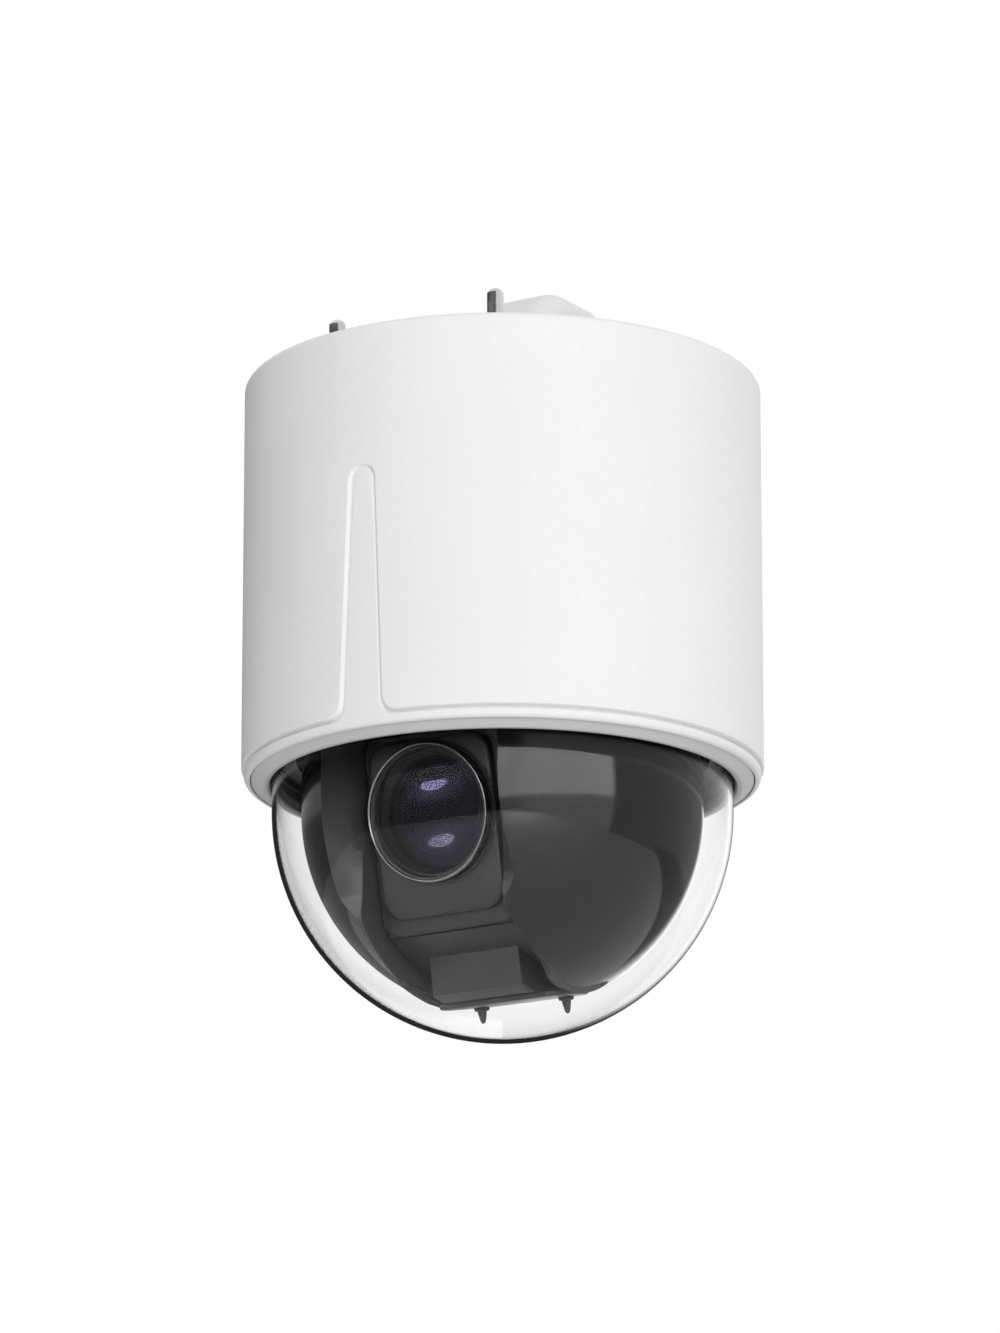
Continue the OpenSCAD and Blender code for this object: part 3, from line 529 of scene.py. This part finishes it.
def make_housing():
    half_turn = math.pi * BODY_R
    right = runs(0.0, 0.9, 4.2, 0.2, 9.0, 0.5, 20.0, 2.0, half_turn)
    across = [-a for a in reversed(right[1:-1])] + right
    heights = runs(-RIM_R, 3.0, -47.6, 0.22, -56.0, 1.3, -118.0, 0.7, -129.0, 0.19, -136.2)
    arc = [math.radians(a) for a in (15, 30, 45, 60, 75)]
    loops = []
    # inside, from the lower edge up and over the flange
    bore = BODY_R - WALL
    inner = [(bore, -BODY_H + 0.6), (bore, -128.4), (bore - 0.9, -128.4), (bore - 0.9, -127.4),
             (bore, -127.4), (bore, -90.0), (bore, -45.0), (bore, -FLANGE_T), (OPENING_R, -FLANGE_T),
             (OPENING_R, -0.4), (OPENING_R + 0.4, 0.0), (BODY_R - RIM_R, 0.0)]
    inner += [(BODY_R - RIM_R + RIM_R * math.sin(a), -RIM_R + RIM_R * math.cos(a)) for a in arc]
    for r, z in inner:
        loops.append([(r, z)] * len(across))
    for z in heights:
        loops.append([(BODY_R - recess_depth(a, z), z) for a in across])
    low_z = heights[-1]
    drop = BODY_H + low_z
    for a in arc + [math.pi / 2]:
        z = low_z - drop * math.sin(a)
        loops.append([(BODY_R - recess_depth(u, low_z) - drop * (1 - math.cos(a)), z) for u in across])
    grid = []
    for loop in loops:
        row = []
        for (r, z), a in zip(loop, across):
            turn = a / BODY_R - math.pi / 2
            row.append(Vector((r * math.cos(turn), r * math.sin(turn), z)))
        grid.append(row)
    points, faces = bridge(grid, True)
    shell = new_piece("housing_can", points, faces, "housing", "white_paint", ("housing_shell",), 40.0)
    pockets = []
    for i in range(6):
        turn = math.radians(60 * i)
        spot = Vector((78 * math.cos(turn), 78 * math.sin(turn), 0)) * MM
        pockets.append((Matrix.Translation(spot), 3.3, 4.0))
        pockets.append((Matrix.Translation(spot), 1.7, 12.0))
    cut(shell, pockets)
    shell.data.set_sharp_from_angle(angle=math.radians(40))


make_housing()

# ---- dome, its ring and seal ----

LIP_R = DOME_R + 0.8
SHOULDER_Z = -134.5
DOME_BORE = 76.1


def make_dome_ring():
    ring_r = BODY_R - WALL - 0.3
    corners = [(LIP_R, SHOULDER_Z, 0.2), (82.9, SHOULDER_Z, 0.2), (82.9, SHOULDER_Z + 9, 0.2),
               (83.9, SHOULDER_Z + 9, 0.2), (83.9, SHOULDER_Z, 0.1), (ring_r, SHOULDER_Z, 0.2),
               (ring_r, -137.8, 0.5), (LIP_R + 2.2, -140.3, 1.2), (LIP_R + 0.8, -140.3, 0.5),
               (LIP_R, -139.6, 0.4)]
    revolve("dome_collar", rounded(corners), 256, "housing", "white_plastic", ("dome_ring",))


def make_seal():
    corners = [(DOME_R + 0.2, -136.6, 0.15), (DOME_R + 0.7, -136.6, 0.15), (DOME_R + 0.7, -134.4, 0),
               (82.4, -134.4, 0.1), (82.4, -133.75, 0.1), (DOME_R + 0.2, -133.75, 0.1)]
    revolve("dome_gasket", rounded(corners, 3), 256, "housing", "black_rubber", ("dome_seal",))


def make_dome():
    """Clear bubble: half a sphere with a short straight wall, a flange at its top, one closed wall."""
    base = SHOULDER_Z + 0.8
    section = [(DOME_R, AXIS_Z)]
    section += [(DOME_R, AXIS_Z + (base - AXIS_Z) * t) for t in (0.35, 0.7, 1.0)]
    section += [(82.2, base), (82.5, base + 0.3), (82.5, base + 2.2), (82.2, base + 2.5),
                (DOME_BORE, base + 2.5)]
    section += [(DOME_BORE, AXIS_Z + (base + 2.5 - AXIS_Z) * t) for t in (0.66, 0.33)]
    steps = 96
    pole = 0.02
    downs = [math.pi / 2 * i / steps for i in range(steps)]
    inner = [(DOME_BORE * math.cos(a), AXIS_Z - DOME_BORE * math.sin(a)) for a in downs]
    outer = [(DOME_R * math.cos(a), AXIS_Z - DOME_R * math.sin(a)) for a in downs]
    columns = 256
    turns = [2 * math.pi * j / columns for j in range(columns)]
    loops = []
    for r, z in section + inner:
        loops.append([Vector((max(r, pole) * math.cos(a), max(r, pole) * math.sin(a), z)) for a in turns])
    points, faces = bridge(loops, False)
    inner_end = (len(loops) - 1) * columns
    tip = len(points)
    points.append(Vector((0, 0, AXIS_Z - DOME_BORE)))
    for j in range(columns):
        faces.append((inner_end + j, inner_end + (j + 1) % columns, tip))
    start = len(points)
    for r, z in outer[1:]:
        points.extend(Vector((r * math.cos(a), r * math.sin(a), z)) for a in turns)
    rows = [0] + [start + i * columns for i in range(steps - 1)]
    for a, b in zip(rows, rows[1:]):
        for j in range(columns):
            k = (j + 1) % columns
            faces.append((a + j, b + j, b + k, a + k))
    tip = len(points)
    points.append(Vector((0, 0, AXIS_Z - DOME_R)))
    for j in range(columns):
        faces.append((rows[-1] + j, rows[-1] + (j + 1) % columns, tip))
    new_piece("dome_clear", points, faces, "housing", "clear_dome", ("dome_bubble",), 45.0)


make_dome_ring()
make_seal()
make_dome()

# ---- shroud cheeks ----

SLOT_HALF = 27.5
SHROUD_TOP = -124.0
WINDOW_HALF = 34.4
THROAT_HALF = 27.9
WINDOW_DEEP = 43.5
FLARE_LOW = -45.0
FLARE_HIGH = -33.0


def slot_edge(z):
    """Half width of the slot at the ball's surface, at height z over the tilt axis: wide beside the lens,
    narrow below it, and drawn together at the bottom."""
    wide = THROAT_HALF + (WINDOW_HALF - THROAT_HALF) * smooth(z, FLARE_LOW, FLARE_HIGH)
    return wide - 5.0 * smooth(-z, 57, 65.5)


def make_cheek(side, node):
    """One cheek: ball surface, a flared edge beside the lens, and a flat wall towards the slot."""
    top = SHROUD_TOP - AXIS_Z
    levels = [(SHROUD_R, top * (1 - t / 8)) for t in range(8)]
    bottom = math.acos(24.0 / SHROUD_R)
    downs = [bottom * t / 84 for t in range(85)]
    levels += [(SHROUD_R * math.cos(a), -SHROUD_R * math.sin(a)) for a in downs]
    loops = []
    for r, z in levels:
        edge_x = min(slot_edge(z), r - 0.25)
        reach = math.sqrt(r * r - edge_x * edge_x)
        last = math.acos(edge_x / r)
        turns = [last * (t / 28 - 1) for t in range(57)]
        loop = [Vector((r * math.cos(a), r * math.sin(a), z)) for a in turns]
        wall_x = min(SLOT_HALF, edge_x - 0.25)
        flare = smooth(z, FLARE_LOW, FLARE_HIGH)
        wall_y = reach * 0.985 + (WINDOW_DEEP - reach * 0.985) * flare
        for t in (1 / 3, 2 / 3):
            loop.append(Vector((edge_x + (wall_x - edge_x) * t, reach + (wall_y - reach) * t, z)))
        for t in range(25):
            loop.append(Vector((wall_x, wall_y - 2 * wall_y * t / 24, z)))
        for t in (2 / 3, 1 / 3):
            loop.append(Vector((edge_x + (wall_x - edge_x) * t, -reach - (wall_y - reach) * t, z)))
        loops.append([Vector((side * p.x, p.y, p.z + AXIS_Z)) for p in loop])
    points, faces = bridge(loops, False, cap_end=True)
    label = "right" if side > 0 else "left"
    cheek = new_piece("cheek_" + label, points, faces, "pan_head", "black_gloss", (node,), 30.0)
    cheek.data.materials.append(MATERIALS["cheek_lining"])
    for face in cheek.data.polygons:
        inward = side * face.normal.x < -0.3
        if inward and abs(face.center.x) < WINDOW_HALF * MM and abs(face.normal.z) < 0.7:
            face.material_index = 1
    thick = cheek.modifiers.new("wall", "SOLIDIFY")
    thick.thickness = 1.8 * MM
    thick.offset = -1
    across = Matrix.Rotation(math.radians(90), 4, "Y")
    hole = Matrix.Translation(Vector((side * SLOT_HALF, 0, AXIS_Z)) * MM) @ across
    cut(cheek, [(hole, 9.5, 14.0)])
    finish_mesh(cheek.data, 30.0)
    edge_round = cheek.modifiers.new("edges", "BEVEL")
    edge_round.width = 0.45 * MM
    edge_round.segments = 3
    edge_round.limit_method = "ANGLE"
    edge_round.angle_limit = math.radians(50)


make_cheek(1, "shroud_right")
make_cheek(-1, "shroud_left")

# ---- camera block ----


def head_piece(name, loops, slot, replaces=(), closed=True, caps=(False, False)):
    placed = [[HEAD @ p for p in loop] for loop in loops]
    points, faces = bridge(placed, closed, *caps)
    return new_piece(name, points, faces, "camera", slot, replaces)


def make_front():
    """Two stepped plates round the lens, with soft front edges and a chamfered bore."""
    back = plate_loops((-26.5, -39, 26.5, 27), 6, -38, -41, 0.9, (23.0, 0.1))
    head_piece("face_plate", back, "charcoal_plastic", ("front_frame",))
    front = plate_loops((-23.6, -34, 23.6, 25), 8, -40.8, -44, 1.1, (23.0, 1.0))
    head_piece("lens_surround", front, "charcoal_plastic")
    lip = [(23.2, 43.4), (23.9, 43.4), (24.0, 44.2), (23.6, 44.6), (23.2, 44.6)]
    revolve("surround_lip", lip, 160, "camera", "charcoal_plastic", place=LENS)


def make_chin():
    """Box under the camera: the underside of its side profile follows a circle about the tilt axis."""
    half = 17.7
    radius = 66.0
    profile = [(-29.0, -27.0)]
    start = math.atan2(-math.sqrt(radius ** 2 - 29 ** 2), -29)
    end = math.atan2(-math.sqrt(radius ** 2 - 22 ** 2), 22)
    for t in range(25):
        turn = start + (end - start) * t / 24
        y, z = radius * math.cos(turn), radius * math.sin(turn)
        profile.append((y, max(z, -62.0)))
    profile.append((22.0, -27.0))
    tidy = [profile[0]]
    for y, z in profile[1:]:
        if math.dist((y, z), tidy[-1]) > 0.3:
            tidy.append((y, z))
    centre = Vector((sum(p[0] for p in tidy) / len(tidy), sum(p[1] for p in tidy) / len(tidy)))
    edge = 1.2
    loops = [(-half, edge), (-half + 0.35, edge * 0.3), (-half + edge, 0.0), (half - edge, 0.0),
             (half - 0.35, edge * 0.3), (half, edge)]
    rows = []
    for x, inset in loops:
        row = []
        for y, z in tidy:
            inward = centre - Vector((y, z))
            move = inward.normalized() * inset
            row.append(Vector((x, y + move.x, z + move.y)))
        rows.append(row)
    head_piece("chin_box", rows, "charcoal_plastic", ("chin_cover",), False, (True, True))


def make_skirt():
    """Rounded belly of the camera case behind the chin box, as wide as the case."""
    half, radius, edge = 25.9, 55.0, 2.2
    side_view = [(-37.9, -26.0), (-37.9, -38.8)]
    side_view += [(radius * math.cos(math.radians(a)), radius * math.sin(math.radians(a)))
                  for a in range(226, 316, 3)]
    side_view += [(37.9, -38.8), (37.9, -26.0)]
    rows = []
    for k in range(-4, 5):
        turn = math.pi / 2 * abs(k) / 4
        x = math.copysign(half - edge + edge * math.sin(turn), k) if k else 0.0
        shrink = 1 - edge * (1 - math.cos(turn)) / radius
        rows.append([Vector((x, y * shrink if abs(y) < 37.5 else y, min(z * shrink, -26.0)))
                     for y, z in side_view])
    head_piece("case_skirt", rows, "charcoal_plastic", (), False, (True, True))


def make_base():
    """Lens-shaped plate under the chin, with a soft edge, and its two pins."""
    cy, radius, back, front = -6.0, 25.0, 8.0, -20.0
    outline = []
    a0 = math.asin((front - cy) / radius)
    a1 = math.asin((back - cy) / radius)
    for t in range(25):
        turn = a0 + (a1 - a0) * t / 24
        outline.append((radius * math.cos(turn), cy + radius * math.sin(turn)))
    outline += [(-x, y) for x, y in reversed(outline)]
    loops = []
    for z, scale in ((-62.0, 0.985), (-62.3, 1.0), (-63.3, 1.0), (-63.8, 0.985), (-64.0, 0.95)):
        loops.append([Vector((x * scale, cy + (y - cy) * scale, z)) for x, y in outline])
    head_piece("chin_plate", loops, "charcoal_plastic", ("base_plate",), False, (True, True))
    section = [(0.02, -64.0), (2.5, -64.0), (2.6, -64.2), (2.6, -64.9), (2.3, -65.2), (1.6, -65.25),
               (1.35, -66.6), (0.95, -68.6), (0.55, -69.4), (0.02, -69.6)]
    for side, label in ((-1, "left"), (1, "right")):
        place = HEAD @ Matrix.Translation((side * 16.6, 0, 0))
        replaced = ("base_pins",) if side < 0 else ()
        revolve("chin_pin_" + label, section, 40, "camera", "black_plastic", replaced, place=place)


def make_lens():
    """Silver ring, black retaining ring and ribbed liner, and coated glass elements one behind another."""
    ring = rounded([(22.35, 46.0, 0.1), (23.25, 46.0, 0.15), (23.25, 47.9, 0.35), (22.9, 48.5, 0.3),
                    (22.6, 48.5, 0.1), (22.35, 48.2, 0.1)], 4)
    revolve("lens_ring", ring, 192, "camera", "silver_ring", ("lens_bezel",), place=LENS)
    retainer = rounded([(20.95, 46.0, 0.1), (22.3, 46.0, 0.1), (22.3, 47.9, 0.3), (21.6, 47.6, 0.3),
                        (20.95, 46.7, 0.1)], 4)
    revolve("lens_retainer", retainer, 160, "camera", "black_plastic", place=LENS)
    liner = [(21.25, 38.2), (21.25, 45.4), (20.7, 45.4)]
    radius, height = 20.6, 45.0
    while height > 38.6:
        liner += [(radius, height), (radius - 0.5, height - 0.25), (radius - 0.5, height - 0.7)]
        radius -= 0.3
        height -= 0.9
    liner += [(radius, 38.2)]
    revolve("lens_liner", liner, 128, "camera", "black_plastic", place=LENS)
    stop = [(18.8, 30.2), (18.8, 31.0), (12.0, 31.0), (8.0, 30.6), (7.8, 30.2)]
    revolve("lens_stop", stop, 128, "camera", "black_plastic", place=LENS)
    cell = rounded([(14.7, 38.3, 0.1), (18.0, 38.3, 0.1), (18.0, 39.6, 0.2), (15.4, 39.9, 0.3),
                    (14.7, 39.4, 0.1)], 3)
    revolve("lens_cell", cell, 128, "camera", "black_plastic", place=LENS)
    elements = (("lens_front", 20.9, 46.0, 47.4, 130.0, "lens_glass", ("front_lens",)),
                ("lens_second", 19.6, 44.0, 44.9, 62.0, "lens_violet", ()),
                ("lens_third", 14.5, 40.0, 38.2, -59.0, "lens_pale", ()))
    for name, rim, level, crown, curve, glass, replaced in elements:
        cap = []
        for t in range(25):
            r = rim * t / 24
            sag = abs(curve) - math.sqrt(curve ** 2 - r ** 2)
            cap.append((max(r, 0.02), crown - math.copysign(sag, curve)))
        back = min(min(h for _, h in cap), level) - 0.8
        section = cap + [(rim, back), (0.02, back)]
        revolve(name, section, 96, "camera", "lens_glass", replaced, place=LENS, material=glass)


coated_glass("lens_violet", (0.14, 0.12, 0.26), 0.14, 0.22, 0.03)
coated_glass("lens_pale", (0.18, 0.165, 0.27), 0.28, 0.36, 0.03)
make_front()
make_chin()
make_skirt()
make_base()
make_lens()

# ---- cable hood ----


def make_hood():
    """Moulded hood with a rolled front and round side edges, on a foot; the cable leaves at the back."""
    low, high = node_box("cable_hood")
    half, crown = 15.0, 8.0
    front, back, top = low.y + 5.0, high.y, high.z
    roll = 16.0
    loops = []
    for k in range(-14, 15):
        x = half * math.sin(math.pi / 2 * k / 14) if abs(k) > 7 else half * 0.7071 * k / 7
        over = max(abs(x) - (half - crown), 0.0)
        drop = crown - math.sqrt(max(crown ** 2 - over ** 2, 0.0))
        loop = [(front + drop, -1.0), (front + drop, (top - roll) * 0.5)]
        for t in range(17):
            turn = math.pi - math.pi / 2 * t / 16
            r = roll - drop
            loop.append((front + roll + r * math.cos(turn), top - roll + r * math.sin(turn)))
        rear = min(drop * 0.4, 1.6)
        loop += [(back - 1.5 - rear, top - drop), (back - 0.4 - rear, top - drop - 0.4),
                 (back - rear, top - drop - 1.5), (back - rear, 12.0), (back - rear, -1.0)]
        loops.append([Vector((x, y, z)) for y, z in loop])
    points, faces = bridge(loops, False, True, True)
    hood = new_piece("outlet_hood", points, faces, "housing", "hood_plastic", ("cable_hood",), 50.0)
    rear_axis = Matrix.Rotation(math.radians(90), 4, "X")
    cut(hood, [(Matrix.Translation(Vector((0, back - 8, 22)) * MM) @ rear_axis, 8.0, 24.0)])
    hood.data.set_sharp_from_angle(angle=math.radians(50))
    foot = []
    for z, inset in ((-3.0, 0.3), (-2.7, 0.0), (-0.7, 0.0), (-0.2, 0.25), (0.0, 0.8)):
        outline = round_rect(low.x, low.y, high.x, back, 5.0, inset)
        foot.append([Vector((x, y, z)) for x, y in outline])
    points, faces = bridge(foot, False, True, True)
    new_piece("outlet_hood_foot", points, faces, "housing", "hood_plastic", (), 50.0)


make_hood()

# ---- finishes of the CAD parts that stay ----

for name, node in NODES.items():
    if not node.data.materials:
        node.data.materials.append(None)
    for index in range(len(node.data.materials)):
        node.data.materials[index] = MATERIALS[SLOTS[name]]

# ---- light, world and floor ----


KEY_AZIMUTH = math.radians(42)
KEY_DISTANCE = 3.0
KEY_Z = 0.15
KEY_AIM_Z = -0.09
KEY_SIZE = 1.5
KEY_POWER = 47


def make_key():
    """Soft round lamp, front right, that lights the object and shows in no reflection."""
    data = bpy.data.lights.new("key", "AREA")
    data.shape = "DISK"
    data.size = KEY_SIZE
    data.energy = KEY_POWER
    lamp = bpy.data.objects.new("key", data)
    bpy.context.scene.collection.objects.link(lamp)
    lamp.location = (KEY_DISTANCE * math.sin(KEY_AZIMUTH), -KEY_DISTANCE * math.cos(KEY_AZIMUTH), KEY_Z)
    lamp.rotation_euler = (Vector((0, 0, KEY_AIM_Z)) - lamp.location).to_track_quat("-Z", "Y").to_euler()
    lamp.visible_camera = False
    lamp.visible_glossy = False
    lamp.visible_transmission = False


def make_world():
    """White surroundings for what is seen straight or through glass, and a plain studio for reflections."""
    world = bpy.data.worlds.new("studio")
    bpy.context.scene.world = world
    world.use_nodes = True
    world.cycles.sampling_method = "NONE"
    tree = Tree(world.node_tree)
    way = tree.add("ShaderNodeTexCoord").outputs["Generated"]
    path = tree.add("ShaderNodeLightPath").outputs
    right = tree.dot(way, TO_RIGHT)
    near = tree.dot(way, TO_CAMERA)
    up = tree.dot(way, Vector((0, 0, 1)))
    azimuth = tree.math("ARCTAN2", right, near)
    # outside reflections: dark on the left and below, light on the right
    side = tree.math("MAXIMUM", tree.step(right, 0.06, 0.30), tree.step(up, 0.36, 0.42))
    outside = tree.math("MULTIPLY_ADD", side, 1.0, 0.02)
    # reflections on the dark ball: a wide bright band over a dimmer field, cut off to the right
    spread_az = tree.math("ABSOLUTE", azimuth)
    edge = tree.math("MULTIPLY_ADD", spread_az, 0.11, -0.09)
    over = tree.step(tree.math("SUBTRACT", up, edge), -0.03, 0.03)
    field = tree.math("MULTIPLY_ADD", over, 2.3, 0.85)
    lit = tree.step(azimuth, 1.18, 1.12)
    rim = tree.step(azimuth, 2.70, 3.0, 0.0, 1.6)
    behind_left = tree.step(azimuth, -2.3, -1.3, 0.12, 1.0)
    field = tree.math("MULTIPLY", field, behind_left)
    inside = tree.math("ADD", tree.math("MULTIPLY_ADD", field, lit, 0.05), rim)
    # reflections from inside the lens: one softbox up to the left of its axis, with a weak glow round it
    box_way = Vector((-0.486, -0.86, 0.155)).normalized()
    across = Vector((0, 0, 1)).cross(box_way).normalized()
    upward = box_way.cross(across)
    ahead = tree.math("GREATER_THAN", tree.dot(way, box_way), 0.0)
    wide = tree.dot(way, across)
    rise = tree.dot(way, upward)
    box = tree.math("MULTIPLY", tree.step(tree.oval(wide, rise, 0.15, 0.055), 1.2, 0.8, 0.0, 26.0), ahead)
    glow = tree.math("MULTIPLY", tree.step(tree.oval(wide, rise, 0.30, 0.16), 1.3, 0.4, 0.0, 1.5), ahead)
    in_lens = tree.math("ADD", tree.math("ADD", box, glow), 0.12)
    behind_glass = tree.math("GREATER_THAN", path["Transparent Depth"], 2.5)
    through_dome = tree.math("GREATER_THAN", path["Transmission Depth"], 3.5)
    deep = tree.add("ShaderNodeMix")
    tree.put(deep.inputs[0], behind_glass)
    tree.put(deep.inputs[2], inside)
    tree.put(deep.inputs[3], in_lens)
    mirror = tree.add("ShaderNodeMix")
    tree.put(mirror.inputs[0], through_dome)
    tree.put(mirror.inputs[2], outside)
    tree.put(mirror.inputs[3], deep.outputs[0])
    clear = tree.math("LESS_THAN", tree.math("ADD", path["Glossy Depth"], path["Diffuse Depth"]), 0.5)
    through = tree.math("MULTIPLY", path["Is Transmission Ray"], clear)
    seen = tree.math("MAXIMUM", path["Is Camera Ray"], through)
    diffused = tree.math("GREATER_THAN", path["Diffuse Depth"], 0.5)
    soft = tree.add("ShaderNodeMix")
    tree.put(soft.inputs[0], diffused)
    tree.put(soft.inputs[2], mirror.outputs[0])
    low_high = tree.step(up, -0.5, 0.3, 0.24, 0.50)
    sideways = tree.math("MULTIPLY", low_high, tree.step(right, -1.0, 0.3, 0.95, 1.06))
    behind = tree.step(near, 0.0, -0.7, 1.0, 2.0)
    tree.put(soft.inputs[3], tree.math("MULTIPLY", sideways, behind))
    strength = tree.add("ShaderNodeMix")
    tree.put(strength.inputs[0], seen)
    tree.put(strength.inputs[2], soft.outputs[0])
    tree.put(strength.inputs[3], 1.0)
    background = tree.add("ShaderNodeBackground", Color=rgba(1.0), Strength=strength.outputs[0])
    out = tree.add("ShaderNodeOutputWorld")
    tree.tree.links.new(background.outputs[0], out.inputs["Surface"])


def floor_paper():
    """Matt paper with faint mottling; the far floor fades into the white surroundings for the camera."""
    material = bpy.data.materials.new("floor_paper")
    material.use_nodes = True
    tree = Tree(material.node_tree)
    place = tree.add("ShaderNodeTexCoord").outputs["Object"]
    mottle = tree.noise(place, 3.0)
    colour = tree.mix(tree.step(mottle, 0.35, 0.65), rgba(0.80), rgba(0.84))
    roughness = tree.step(mottle, 0.3, 0.7, 0.7, 0.85)
    paper = tree.add("ShaderNodeBsdfPrincipled", Base_Color=colour, Roughness=roughness)
    tree.put(paper.inputs["Normal"], tree.bump(tree.noise(place, 400.0), 2e-5))
    apart = tree.tree.nodes.new("ShaderNodeVectorMath")
    apart.operation = "LENGTH"
    tree.put(apart.inputs[0], place)
    far = tree.step(apart.outputs["Value"], 0.9, 2.0)
    seen = tree.add("ShaderNodeLightPath").outputs["Is Camera Ray"]
    white = tree.add("ShaderNodeEmission", Color=rgba(1.0), Strength=1.0)
    blend = tree.add("ShaderNodeMixShader")
    tree.put(blend.inputs[0], tree.math("MULTIPLY", far, seen))
    tree.put(blend.inputs[1], paper.outputs[0])
    tree.put(blend.inputs[2], white.outputs[0])
    out = tree.add("ShaderNodeOutputMaterial")
    tree.tree.links.new(blend.outputs[0], out.inputs["Surface"])
    return material


def make_floor():
    half = 2.6
    level = -0.86
    mesh = bpy.data.meshes.new("floor")
    corners = [(-half, -half, level), (half, -half, level), (half, half, level), (-half, half, level)]
    mesh.from_pydata(corners, [], [(0, 1, 2, 3)])
    floor = bpy.data.objects.new("floor", mesh)
    bpy.context.scene.collection.objects.link(floor)
    mesh.materials.append(floor_paper())


make_world()
make_floor()
make_key()
bpy.context.scene.view_settings.view_transform = "Standard"
bpy.context.scene.cycles.max_bounces = 24
bpy.context.scene.cycles.transmission_bounces = 24
bpy.context.scene.cycles.glossy_bounces = 8
bpy.context.scene.cycles.transparent_max_bounces = 24

bpy.context.view_layer.update()
